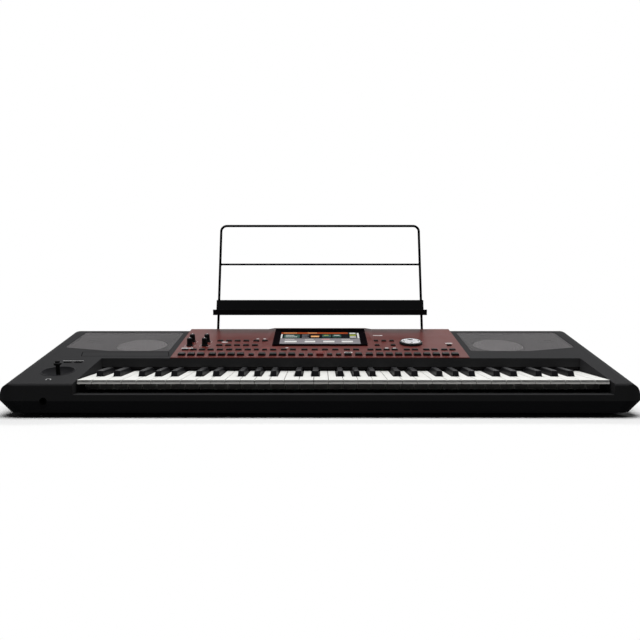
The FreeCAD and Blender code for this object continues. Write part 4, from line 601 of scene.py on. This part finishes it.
@dataclass(frozen=True)
class Disc:
    """A disc that stands on the plane w = 0, with a softened upper rim, in mm, and the flats round it."""

    radius: float
    height: float
    edge: float
    sides: int

    def make(self, name: str) -> Piece:
        """Model the disc.

        Args:
            name: name of the piece.

        Returns:
            The piece, at the origin.
        """
        bpy.ops.mesh.primitive_cylinder_add(
            vertices=self.sides, radius=self.radius * MM, depth=self.height * MM, location=(0.0, 0.0, 0.0)
        )
        piece = Bench.start(name)
        Bench.faces(piece, lambda centre, normal: normal.z > Bench.UPWARD)
        bpy.ops.mesh.bevel(offset=self.edge * MM, segments=Bench.SEGMENTS, affect="EDGES")
        bpy.ops.mesh.select_all(action="SELECT")
        bpy.ops.transform.translate(value=(0.0, 0.0, self.height * MM / 2.0))
        Bench.leave()
        return piece


@dataclass(frozen=True)
class Ring:
    """A flat ring about w = 0: radius of its middle line, half its width, its height and flats, in mm."""

    radius: float
    bar: float
    height: float
    sides: int = 32

    def make(self, name: str) -> Piece:
        """Model the ring.

        Args:
            name: name of the piece.

        Returns:
            The piece, at the origin.
        """
        bpy.ops.mesh.primitive_torus_add(
            major_radius=self.radius * MM, minor_radius=self.bar * MM,
            major_segments=self.sides, minor_segments=Bench.BAR_SIDES,
        )
        piece = Bench.start(name)
        Bench.faces(piece)
        bpy.ops.transform.resize(value=(1.0, 1.0, self.height / (2.0 * self.bar)))
        Bench.leave()
        return piece


def paint(finish: Finish, *nodes: str) -> None:
    """Give CAD nodes a finish.

    Args:
        finish: the finish.
        nodes: names of the CAD nodes.
    """
    for node in nodes:
        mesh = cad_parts[node].data
        mesh.materials.clear()
        mesh.materials.append(finish.material())
        LOG.info("node %s in %s", node, finish.name)


@dataclass(frozen=True)
class Surface:
    """A sloping plane of the object, with u to the right, v up the slope and w out of it, in mm.

    Attributes:
        front: y of the plane's front edge.
        foot: z of the plane's front edge.
        slope: rise of the plane in degrees.
    """

    front: float
    foot: float
    slope: float

    def matrix(self, u: float, v: float, w: float = 0.0, spin: float = 0.0) -> Matrix:
        """Give the placing of a piece on this plane.

        Args:
            u: place to the right.
            v: place up the slope.
            w: place out of the plane.
            spin: turn about w in degrees.

        Returns:
            A matrix in metres.
        """
        base = Matrix.Translation((0.0, self.front * MM, self.foot * MM))
        tilt = Matrix.Rotation(math.radians(self.slope), 4, "X")
        shift = Matrix.Translation((u * MM, v * MM, w * MM))
        return base @ tilt @ shift @ Matrix.Rotation(math.radians(spin), 4, "Z")


DECK = Surface(-215.474, 54.0, 10.2)
PANEL = Surface(-63.474, 82.849, 10.876)
DISPLAY = Surface(15.089, 97.944, 11.797)
INK = 0.06
INK_EDGE = 0.02


@dataclass(frozen=True)
class Bar:
    """A plain printed bar: its middle, width, height and turn, on one of the sloping planes, in mm."""

    u: float
    v: float
    width: float
    height: float = 3.2
    spin: float = 0.0

    def at(self, u: float, v: float) -> "Bar":
        """Give the same bar with its place counted from another point."""
        return replace(self, u=self.u + u, v=self.v + v)


def print_bars(label: str, plane: Surface, bars: Sequence[Bar], finish: Finish, lift: float = 0.0,
               body: str = "case") -> None:
    """Print plain bars on a plane as one thin piece.

    Args:
        label: name of the piece.
        plane: the plane that they lie on.
        bars: the bars.
        finish: their finish.
        lift: height above the plane that they lie at, in mm.
        body: name of the CAD body that they ride on.
    """
    stamp = Block((1.0, 1.0, INK), INK_EDGE).make(label)
    places = []
    for bar in bars:
        stretch = Matrix.Diagonal((bar.width, bar.height, 1.0, 1.0))
        places.append(plane.matrix(bar.u, bar.v, lift, bar.spin) @ stretch)
    Bench.set_out(stamp, places, finish, body)


@dataclass
class Shells:
    """Case shells, rear panel, feet and screws, with what is printed on the deck, in mm.

    Attributes:
        plate: left, right, front, rear and slant of the bare name plate's outline.
        label: the bar behind the switches.
        bow_end: how far the headphone sign's bow reaches down past its middle.
        pads: the sign's two pads, counted from its place.
    """

    plate: tuple[float, float, float, float, float] = (-428.0, -271.0, 169.0, 199.0, -7.0)
    line: float = 1.2
    label: Bar = Bar(-432.0, 138.0, 36.0, 1.7)
    phones: Pair = (-434.0, 25.6)
    bow: Ring = Ring(3.6, 0.45, 0.08)
    bow_end: float = 0.1
    pads: tuple[Bar, Bar] = (Bar(-3.4, -1.4, 1.8, 3.4), Bar(3.4, -1.4, 1.8, 3.4))

    def dress(self) -> None:
        """Give every node of the case its finish."""
        paint(Looks.CASE, "top_case")
        paint(Looks.LOWER, "bottom_case", "rear_panel")
        paint(Looks.STEEL, "case_screws")
        paint(Looks.RUBBER, "rubber_feet")
        self._outline()
        self._phones()
        print_bars("switch_label", DECK, (self.label,), Looks.DIM_PRINT)

    def _outline(self) -> None:
        """Print the slanted outline of the bare name plate."""
        left, right, front, rear, slant = self.plate
        middle, length = (front + rear) / 2.0, math.hypot(rear - front, slant)
        turn = math.degrees(math.atan2(-slant, rear - front))
        bars = [Bar((left + right) / 2.0, front, right - left, self.line),
                Bar((left + right) / 2.0 + slant, rear, right - left, self.line)]
        bars += [Bar(u + slant / 2.0, middle, self.line, length, turn) for u in (left, right)]
        print_bars("name_plate_outline", DECK, bars, Looks.DARK_PRINT)

    def _phones(self) -> None:
        """Print the sign of a pair of headphones: a bow with two pads."""
        bow = self.bow.make("phones_bow")
        Bench.faces(bow, lambda centre, normal: centre.y < -self.bow_end * MM)
        bpy.ops.mesh.delete(type="FACE")
        Bench.leave()
        Bench.set_out(bow, [DECK.matrix(*self.phones, self.bow.height / 2.0)], Looks.DIM_PRINT)
        pads = [pad.at(*self.phones) for pad in self.pads]
        print_bars("phones_pads", DECK, pads, Looks.DIM_PRINT)


@dataclass
class KeyBed:
    """The keys and their action, in mm.

    Attributes:
        body_front: y of the white keys' bodies, which stand back under their plates.
        body_slack: how far from it a face of that front may lie.
        facing: least share of such a face's normal that points to the front.
        wall: width of the pale edge at each side of a key's body, kept in the key's own white outside the
            painted shade.
    """

    naturals: tuple[str, ...] = tuple(f"keys_{note}" for note in "cdefgab")
    natural_edge: float = 0.35
    sharps: tuple[str, ...] = tuple(f"keys_{note}_sharp" for note in "cdfga")
    sharp_edge: float = 0.8
    body_front: float = -157.474
    body_slack: float = 0.2
    facing: float = 0.99
    wall: float = 0.8

    def dress(self) -> None:
        """Soften the keys, paint shade on the white keys' body fronts and finish the action under them."""
        for node in self.naturals:
            piece = Bench.softened(node, self.natural_edge)
            # Painted shade on the body fronts, with a pale edge of the key's own white kept at each side.
            Bench.two_tone(piece, Looks.WHITE_KEY, Looks.KEY_FRONT_SHADE, self._is_body_front, self.wall)
            Bench.hand_over(piece, Looks.WHITE_KEY, node)
        Bench.stand_in(Looks.BLACK_KEY, self.sharp_edge, *self.sharps)
        paint(Looks.COATED, "key_frame")
        paint(Looks.STEEL, "key_pivot_rod", "key_return_springs")
        paint(Looks.BOARD, "key_contact_board")
        paint(Looks.CONTACT, "key_contact_rubber")
        paint(Looks.FELT_AND_HOLE_SHADE, "key_stop_felt")

    def _is_body_front(self, centre: Vector, normal: Vector) -> bool:
        """Tell whether a face is the front of a key's body, which takes the painted shade."""
        return normal.y < -self.facing and abs(centre.y / MM - self.body_front) < self.body_slack


@dataclass(frozen=True)
class DataDial:
    """The data dial: a silver face with a dark rim, skirt and dimple and three marks, in mm.

    Attributes:
        top: height of its face over the panel.
        skirt_drop: depth under the face at which the dark skirt begins.
        dimple: distance of the dimple from the middle, and its radius.
        dimple_drop: depth under the face at which the dimple begins.
    """

    node: str = "data_dial"
    place: Pair = (173.06, 97.5)
    top: float = 5.5
    edge: float = 0.4
    skirt_drop: float = 0.3
    dimple: Pair = (12.0, 5.0)
    dimple_drop: float = 0.02
    rim: Ring = Ring(19.0, 0.9, 0.16, 64)
    mark: Disc = Disc(2.2, 0.08, 0.03, 16)
    marks: tuple[Pair, ...] = ((-14.0, 0.0), (14.0, 0.0), (0.0, -13.0))

    def dress(self) -> None:
        """Make the dial's skirt, dimple, rim and marks dark and its face silver."""
        piece = Bench.softened(self.node, self.edge)
        Bench.two_tone(piece, Looks.SILVER, Looks.SOCKET, self._is_dark)
        Bench.hand_over(piece, Looks.SILVER, self.node)
        rim = self.rim.make("dial_rim")
        Bench.set_out(rim, [PANEL.matrix(*self.place, self.top)], Looks.SOCKET, self.node)
        u, v = self.place
        places = [PANEL.matrix(u + x, v + y, self.top) for x, y in self.marks]
        Bench.set_out(self.mark.make("dial_marks"), places, Looks.SOCKET, self.node)

    def _is_dark(self, centre: Vector, normal: Vector) -> bool:
        """Tell whether a face belongs to the skirt or to the dimple.

        Args:
            centre: the face's centre.
            normal: the face's normal, which plays no part.

        Returns:
            True for the dark faces.
        """
        u, v, height = (PANEL.matrix(*self.place).inverted() @ centre) / MM
        reach, radius = self.dimple
        in_dimple = math.hypot(u, v - reach) < radius and height < self.top - self.dimple_drop
        return in_dimple or height < self.top - self.skirt_drop


@dataclass
class Controls:
    """The burgundy panel with its buttons, knobs, dial and prints, in mm.

    Attributes:
        knob_top: height of the knobs' faces over the panel.
        pointer: the pointer on a knob, counted from its middle.
        tick_angles: turns of the ticks round a knob, in degrees.
    """

    buttons: tuple[str, ...] = (
        "pad_buttons", "round_buttons", "start_button", "row_two_buttons", "style_buttons", "menu_buttons"
    )
    red_button: str = "start_button"
    button_edge: float = 0.3
    knobs: tuple[str, ...] = ("knob_1", "knob_2", "knob_3", "knob_4")
    knob_edge: float = 0.25
    knob_places: tuple[Pair, ...] = ((-245.06, 81.0), (-217.0, 81.0), (-245.06, 111.0), (-217.0, 111.0))
    knob_top: float = 15.6
    pointer: Bar = Bar(0.0, 2.6, 1.0, 4.6)
    dial: DataDial = DataDial()
    bars: tuple[Bar, ...] = (
        Bar(-246.7, 63.7, 21.0, 4.2), Bar(-121.5, 134.3, 5.0), Bar(-105.0, 134.3, 10.5),
        Bar(-183.1, 108.5, 11.5), Bar(-61.7, 66.8, 4.8), Bar(51.5, 34.5, 15.0, 4.2),
        Bar(111.4, 161.8, 25.8), Bar(124.2, 64.8, 6.0), Bar(138.6, 64.8, 5.5), Bar(245.9, 100.2, 13.4),
    )
    red_bars: tuple[Bar, ...] = (Bar(-101.2, 64.8, 14.8), Bar(-84.5, 64.8, 11.0), Bar(0.9, 37.3, 21.8))
    tick: Block = Block((0.7, 2.0, INK), INK_EDGE)
    tick_radius: float = 9.6
    tick_angles: range = range(-150, 151, 30)

    def dress(self) -> None:
        """Finish the panel and everything on it."""
        paint(Looks.PANEL, "control_panel")
        paint(Looks.BOARD, "panel_board")
        for node in self.buttons:
            finish = Looks.RED if node == self.red_button else Looks.BUTTON
            Bench.stand_in(finish, self.button_edge, node)
        Bench.stand_in(Looks.SOCKET, self.knob_edge, *self.knobs)
        self.dial.dress()
        self._prints()

    def _prints(self) -> None:
        """Print the bars on the panel, the pointers on the knobs and the ticks round them."""
        print_bars("panel_bars", PANEL, self.bars, Looks.PRINT)
        print_bars("panel_red_bars", PANEL, self.red_bars, Looks.RED_PRINT)
        for node, place in zip(self.knobs, self.knob_places):
            pointer = self.pointer.at(*place)
            print_bars(f"{node}_pointer", PANEL, (pointer,), Looks.PRINT, self.knob_top, node)
        outwards = Matrix.Translation((0.0, self.tick_radius * MM, 0.0))
        places = []
        for u, v in self.knob_places:
            places += [PANEL.matrix(u, v, 0.0, -angle) @ outwards for angle in self.tick_angles]
        Bench.set_out(self.tick.make("knob_ticks"), places, Looks.PRINT)


class Tint(Enum):
    """The colours of what the generic display shows."""

    ORANGE = (159, 72, 39)
    TEAL = (62, 90, 82)
    AMBER = (239, 179, 118)
    GREY = (136, 133, 137)
    PALE = (217, 217, 214)
    LIME = (174, 184, 87)
    PINK = (207, 153, 156)

    def finish(self) -> Finish:
        """Give the lit finish of this colour."""
        return Finish(f"lit_{self.name.lower()}", "screen", self.value, 0.4, glow=0.3)


@dataclass
class Touchscreen:
    """The display: bezel, cover glass and the lit screen, in mm.

    Attributes:
        front: place of its front edge on the display's plane.
        foot: height of its underside.
        face: height of its lit face.
        layer_step: height between two layers of lit fields.
        pictures: colour and layer of lit fields, with the left, top, right and bottom of each as
            shares of the screen from its upper left corner.
    """

    size: Pair = (154.1, 85.9)
    front: float = 9.0
    foot: float = -3.2
    face: float = 1.5
    edge: float = 0.3
    layer_step: float = 0.07
    pictures: tuple[tuple[Tint, int, tuple[Field, ...]], ...] = (
        (Tint.ORANGE, 0, ((0.0, 0.0, 0.86, 0.13),)),
        (Tint.TEAL, 0, ((0.04, 0.2, 0.24, 0.5), (0.53, 0.2, 0.64, 0.44), (0.66, 0.2, 0.77, 0.44))),
        (Tint.AMBER, 0, ((0.385, 0.3, 0.49, 0.42),)),
        (Tint.AMBER, 1, ((0.03, 0.035, 0.2, 0.075), (0.34, 0.035, 0.46, 0.075))),
        (Tint.GREY, 0, (
            (0.0, 0.54, 1.0, 1.0), (0.27, 0.21, 0.36, 0.25), (0.27, 0.31, 0.34, 0.35),
            (0.27, 0.42, 0.36, 0.46),
        )),
        (Tint.PALE, 0, (
            (0.88, 0.03, 0.96, 0.14), (0.88, 0.36, 0.96, 0.46), (0.0, 0.16, 0.02, 0.52),
            (0.975, 0.05, 1.0, 0.52),
        )),
        (Tint.PALE, 1, (
            (0.06, 0.74, 0.21, 0.86), (0.31, 0.74, 0.44, 0.86), (0.54, 0.74, 0.68, 0.86),
            (0.77, 0.74, 0.91, 0.86), (0.06, 0.25, 0.17, 0.29), (0.06, 0.38, 0.21, 0.42),
            (0.68, 0.25, 0.75, 0.29), (0.06, 0.6, 0.18, 0.63), (0.31, 0.6, 0.42, 0.63),
            (0.77, 0.6, 0.88, 0.63),
        )),
        (Tint.LIME, 0, ((0.88, 0.2, 0.96, 0.3),)),
        (Tint.LIME, 1, ((0.55, 0.25, 0.61, 0.29),)),
        (Tint.PINK, 1, ((0.52, 0.58, 0.62, 0.64),)),
    )

    def dress(self) -> None:
        """Finish the display."""
        paint(Looks.BEZEL, "display_bezel")
        paint(Looks.GLASS, "display_glass")
        width, length = self.size
        module = Block((width, length, self.face - self.foot), self.edge).make("display_screen")
        module = Bench.copies(module, [DISPLAY.matrix(0.0, self.front + length / 2.0, self.foot)])
        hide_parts("display_module")
        Bench.hand_over(module, Looks.SCREEN, "case")
        for tint, layer, fields in self.pictures:
            bars = [self._bar(field) for field in fields]
            lift = self.face + self.layer_step * layer
            print_bars(f"lit_{tint.name.lower()}_{layer}", DISPLAY, bars, tint.finish(), lift)

    def _bar(self, field: Field) -> Bar:
        """Turn a lit field into a bar on the display's plane.

        Args:
            field: its left, top, right and bottom, as shares of the screen.

        Returns:
            The bar.
        """
        width, length = self.size
        left, top, right, bottom = field
        u = width * ((left + right) / 2.0 - 0.5)
        v = self.front + length * (1.0 - (top + bottom) / 2.0)
        return Bar(u, v, width * (right - left), length * (bottom - top))


@dataclass
class Speakers:
    """Grilles, woofers and tweeters."""

    def dress(self) -> None:
        """Finish the loudspeakers."""
        paint(Looks.GRILLE, "speaker_grilles")
        paint(Looks.PLASTIC, "woofers")
        paint(Looks.CONE, "woofer_cones")
        paint(Looks.SOCKET, "tweeters")


@dataclass
class Joystick:
    """Joystick with its bowl, bracket and gimbal, and the two switches behind it.

    Attributes:
        edge: width of the softened edges of stick and switches, in mm.
    """

    edge: float = 0.4

    def dress(self) -> None:
        """Finish the joystick."""
        paint(Looks.PLASTIC, "joystick_bowl", "joystick_gimbal")
        paint(Looks.FRAME, "joystick_bracket")
        Bench.stand_in(Looks.SOCKET, self.edge, "joystick_stick", "assign_switches")


@dataclass
class MusicStand:
    """Wire stand with its ledge, in mm.

    Attributes:
        foot: y and z of the point where the legs enter the case.
        lean: degrees that the stand leans back.
        welds: x and rise of the crossbar's welds.
    """

    foot: Pair = (154.535, 114.676)
    lean: float = 14.5
    ledge_edge: float = 0.25
    welds: Pair = (208.2, 149.0)
    bead: Ring = Ring(2.1, 0.5, 1.2, 20)

    def dress(self) -> None:
        """Finish the stand and its sockets."""
        paint(Looks.WIRE, "stand_frame", "stand_crossbar")
        Bench.hand_over(Bench.softened("stand_ledge", self.ledge_edge), Looks.LEDGE, "music_stand")
        paint(Looks.PLASTIC, "stand_sockets")
        x, rise = self.welds
        base = Matrix.Translation((0.0, self.foot[0] * MM, self.foot[1] * MM))
        base = base @ Matrix.Rotation(math.radians(-self.lean), 4, "X")
        bead = self.bead.make("stand_welds")
        across = Matrix.Rotation(math.radians(90.0), 4, "Y")
        places = [base @ Matrix.Translation((s * x * MM, 0.0, rise * MM)) @ across for s in (-1.0, 1.0)]
        Bench.set_out(bead, places, Looks.WIRE, "music_stand")


@dataclass
class Connectors:
    """Sockets at the rear and at the front, the mains switch and the boards behind them, in mm.

    Attributes:
        face: y of the flanges' outer face.
        middle: z of the middle of the connector bay.
        usb: x of the square and of the flat data port, as inlet, jacks and midi are of theirs.
        flange: thickness of the ports' black flange before the metal lining.
        flat_rise: how far the flat port's tongue stands over the middle.
        blades: places of the inlet's blades, counted from its middle.
        jack_proud: how far the jacks' bezels stand out of the flanges.
        pin_circle: radius of the circle that the pin holes lie on.
        pin_angles: turns of the pin holes, in degrees.
    """

    face: float = 161.535
    middle: float = 42.75
    usb: Pair = (12.5, 41.5)
    usb_edge: float = 0.12
    flange: float = 0.4
    square_tongue: Block = Block((5.0, 2.4, 8.0), 0.2)
    flat_tongue: Block = Block((10.6, 1.7, 9.0), 0.2)
    flat_rise: float = 1.1
    tongue_depth: float = 13.4
    inlet: float = -40.0
    blade: Block = Block((2.0, 5.0, 11.0), 0.3)
    blade_depth: float = 15.0
    blades: tuple[Pair, ...] = ((-7.0, -2.0), (0.0, 2.0), (7.0, -2.0))
    jacks: tuple[float, ...] = (121.5, 140.5, 159.5, 178.5)
    jack_height: float = 34.5
    jack_proud: float = 0.8
    jack_ring: Ring = Ring(4.2, 0.8, 0.6)
    midi: Pair = (70.0, 98.0)
    pin: Disc = Disc(0.9, 0.1, 0.03, 12)
    pin_circle: float = 5.0
    pin_angles: range = range(0, 181, 45)
    pin_lift: float = 0.02

    def dress(self) -> None:
        """Finish the connectors and boards."""
        paint(Looks.SOCKET, "audio_jacks", "midi_sockets", "power_inlet")
        ports = Bench.softened("usb_ports", self.usb_edge)
        Bench.two_tone(ports, Looks.SOCKET, Looks.JACK, self._is_lining)
        Bench.hand_over(ports, Looks.SOCKET, "case")
        paint(Looks.BUTTON, "power_button")
        # The jack's own black plus painted shade of its hole.
        paint(Looks.JACK_BLACK_AND_HOLE_SHADE, "headphone_jack")
        paint(Looks.BOARD, "main_board")
        paint(Looks.FRAME, "power_supply")
        self._tongues()
        self._pins()

    def _is_lining(self, centre: Vector, normal: Vector) -> bool:
        """Tell whether a face of the data ports lies behind their flange."""
        return centre.y / MM < self.face - self.flange

    def _rear(self, x: float, z: float, out: float) -> Matrix:
        """Give the placing of a piece at x and z on the rear, standing out of the flanges."""
        spot = Matrix.Translation((x * MM, (self.face + out) * MM, z * MM))
        return spot @ Matrix.Rotation(math.radians(-90.0), 4, "X")

    def _tongues(self) -> None:
        """Put the contact tongues into the data ports."""
        square_x, flat_x = self.usb
        for name, tongue, x, rise in (("usb_b_tongue", self.square_tongue, square_x, 0.0),
                                      ("usb_a_tongue", self.flat_tongue, flat_x, self.flat_rise)):
            place = self._rear(x, self.middle + rise, -self.tongue_depth)
            Bench.set_out(tongue.make(name), [place], Looks.TONGUE)

    def _pins(self) -> None:
        """Put blades into the mains inlet, rings round the jacks and dark discs of painted shade for the pin
        holes on the round sockets.
        """
        places = [self._rear(self.inlet + x, self.middle + z, -self.blade_depth) for x, z in self.blades]
        Bench.set_out(self.blade.make("inlet_blades"), places, Looks.JACK)
        places = [self._rear(x, self.jack_height, self.jack_proud) for x in self.jacks]
        Bench.set_out(self.jack_ring.make("jack_rings"), places, Looks.JACK)
        places = []
        for x in self.midi:
            for angle in map(math.radians, self.pin_angles):
                across, down = self.pin_circle * math.cos(angle), self.pin_circle * math.sin(angle)
                places.append(self._rear(x + across, self.middle - down, self.pin_lift))
        # Painted shade: flat dark discs on the socket faces stand for the shade inside the pin holes.
        Bench.set_out(self.pin.make("midi_pin_hole_shade"), places, Looks.FELT_AND_HOLE_SHADE)


@dataclass(frozen=True)
class Lamp:
    """One soft lamp: where it hangs, the point that it faces, its width and height, and its watts."""

    name: str
    place: Triple
    aim: Triple
    size: Pair
    power: float

    def hang(self) -> None:
        """Hang the lamp in the scene."""
        light = bpy.data.lights.new(self.name, "AREA")
        light.shape = "RECTANGLE"
        light.size, light.size_y = self.size
        light.energy = self.power
        lamp = bpy.data.objects.new(self.name, light)
        bpy.context.collection.objects.link(lamp)
        lamp.location = self.place
        towards = Vector(self.aim) - Vector(self.place)
        lamp.rotation_euler = towards.to_track_quat("-Z", "Y").to_euler()
        LOG.info("lamp %s hung", self.name)


@dataclass
class Studio:
    """Floor, lamps, background and camera.

    Attributes:
        eye: place of the camera in mm.
        pitch: degrees that the camera looks down.
        ambient: strength of the even light.
        bounce: how much of the light the floor gives back to the object.
        shadow_reach: how far beyond the object the floor keeps its shadow, in metres.
    """

    eye: Triple = (0.0, -1337.5, 190.0)
    lens: float = 40.5
    sensor: float = 36.0
    pitch: float = 1.83
    ambient: float = 0.024
    floor_size: float = 12.0
    floor_shade: float = 0.9
    floor_roughness: float = 0.9
    bounce: float = 0.15
    shadow_reach: float = 0.16
    lamps: tuple[Lamp, ...] = (
        Lamp("top_lamp", (0.0, -0.35, 2.4), (0.0, -0.05, 0.0), (3.0, 1.6), 71.0),
        Lamp("rear_right_lamp", (1.7, 1.6, 1.1), (0.2, 0.0, 0.1), (1.2, 1.0), 4.6),
        Lamp("rear_top_lamp", (0.0, 1.73, 1.74), (0.0, 0.1, 0.1), (2.4, 0.3), 18.0),
    )

    def build(self) -> None:
        """Set up floor, background, lamps and camera."""
        self._floor()
        self._world()
        for lamp in self.lamps:
            lamp.hang()
        self._camera()

    @staticmethod
    def _rays(tree: Tree) -> Socket:
        """Add a mask that is one for the rays which see the background.

        Args:
            tree: node tree of the floor or the world.

        Returns:
            The socket with the mask.
        """
        path = Nodes.add(tree, "LightPath").outputs
        first = Nodes.math(tree, "MAXIMUM", path["Is Camera Ray"], path["Is Glossy Ray"])
        return Nodes.math(tree, "MAXIMUM", first, path["Is Transmission Ray"])

    def _floor(self) -> None:
        """Lay a pale floor that keeps the shadow and runs out into the background."""
        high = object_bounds()[1]
        bpy.ops.mesh.primitive_plane_add(size=self.floor_size, location=(0.0, 0.0, 0.0))
        floor = Bench.start("studio_floor")
        material = bpy.data.materials.new("studio_floor")
        material.use_nodes = True
        tree = material.node_tree
        path = Nodes.add(tree, "LightPath").outputs
        pale = Nodes.add(tree, "Mix", {
            "Factor": path["Is Diffuse Ray"],
            "A": (self.floor_shade, self.floor_shade, self.floor_shade, 1.0),
            "B": (self.bounce, self.bounce, self.bounce, 1.0),
        }, data_type="RGBA")
        shader = tree.nodes["Principled BSDF"]
        tree.links.new(pale.outputs["Result"], shader.inputs["Base Color"])
        shader.inputs["Roughness"].default_value = self.floor_roughness
        shader.inputs["Specular IOR Level"].default_value = 0.0
        beyond = Nodes.vector(tree, "ABSOLUTE", Nodes.add(tree, "TexCoord").outputs["Object"])
        beyond = Nodes.vector(tree, "SUBTRACT", beyond, (high[0], high[1], 0.0))
        beyond = Nodes.vector(tree, "MAXIMUM", beyond, (0.0, 0.0, 0.0))
        fade = Nodes.add(tree, "MapRange", {
            "Value": Nodes.vector(tree, "LENGTH", beyond), "From Max": self.shadow_reach,
        }, interpolation_type="SMOOTHSTEP")
        mix = Nodes.add(tree, "MixShader", {
            "Fac": Nodes.math(tree, "MULTIPLY", fade.outputs["Result"], self._rays(tree)),
            1: shader.outputs["BSDF"],
            2: Nodes.add(tree, "Emission").outputs["Emission"],
        })
        tree.links.new(mix.outputs["Shader"], tree.nodes["Material Output"].inputs["Surface"])
        floor.data.materials.append(material)
        floor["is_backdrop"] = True

    def _world(self) -> None:
        """Show white to the camera and give a weak even light to the rest."""
        world = bpy.data.worlds.new("studio")
        bpy.context.scene.world = world
        world.use_nodes = True
        tree = world.node_tree
        tree.nodes.clear()
        white = {"Color": (1.0, 1.0, 1.0, 1.0)}
        even = Nodes.add(tree, "Background", white | {"Strength": self.ambient})
        seen = Nodes.add(tree, "Background", white)
        mix = Nodes.add(tree, "MixShader", {
            "Fac": self._rays(tree), 1: even.outputs["Background"], 2: seen.outputs["Background"],
        })
        Nodes.add(tree, "OutputWorld", {"Surface": mix.outputs["Shader"]})

    def _camera(self) -> None:
        """Set the camera where the photograph was taken from."""
        data = bpy.data.cameras.new("photo_camera")
        data.lens = self.lens
        data.sensor_width = self.sensor
        camera = bpy.data.objects.new("photo_camera", data)
        bpy.context.collection.objects.link(camera)
        camera.location = tuple(c * MM for c in self.eye)
        camera.rotation_euler = (math.radians(90.0 - self.pitch), 0.0, 0.0)
        bpy.context.scene.camera = camera


def main() -> None:
    """Dress the object and set up the studio."""
    logging.basicConfig(level=logging.INFO, format="%(name)s: %(message)s")
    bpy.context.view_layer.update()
    for group in (Shells(), KeyBed(), Controls(), Touchscreen(), Speakers(), Joystick(), MusicStand(),
                  Connectors()):
        group.dress()
        LOG.info("%s dressed", type(group).__name__)
    Studio().build()
    bpy.context.scene.view_settings.view_transform = "Standard"
    bpy.context.view_layer.update()


if __name__ == "__main__":
    main()
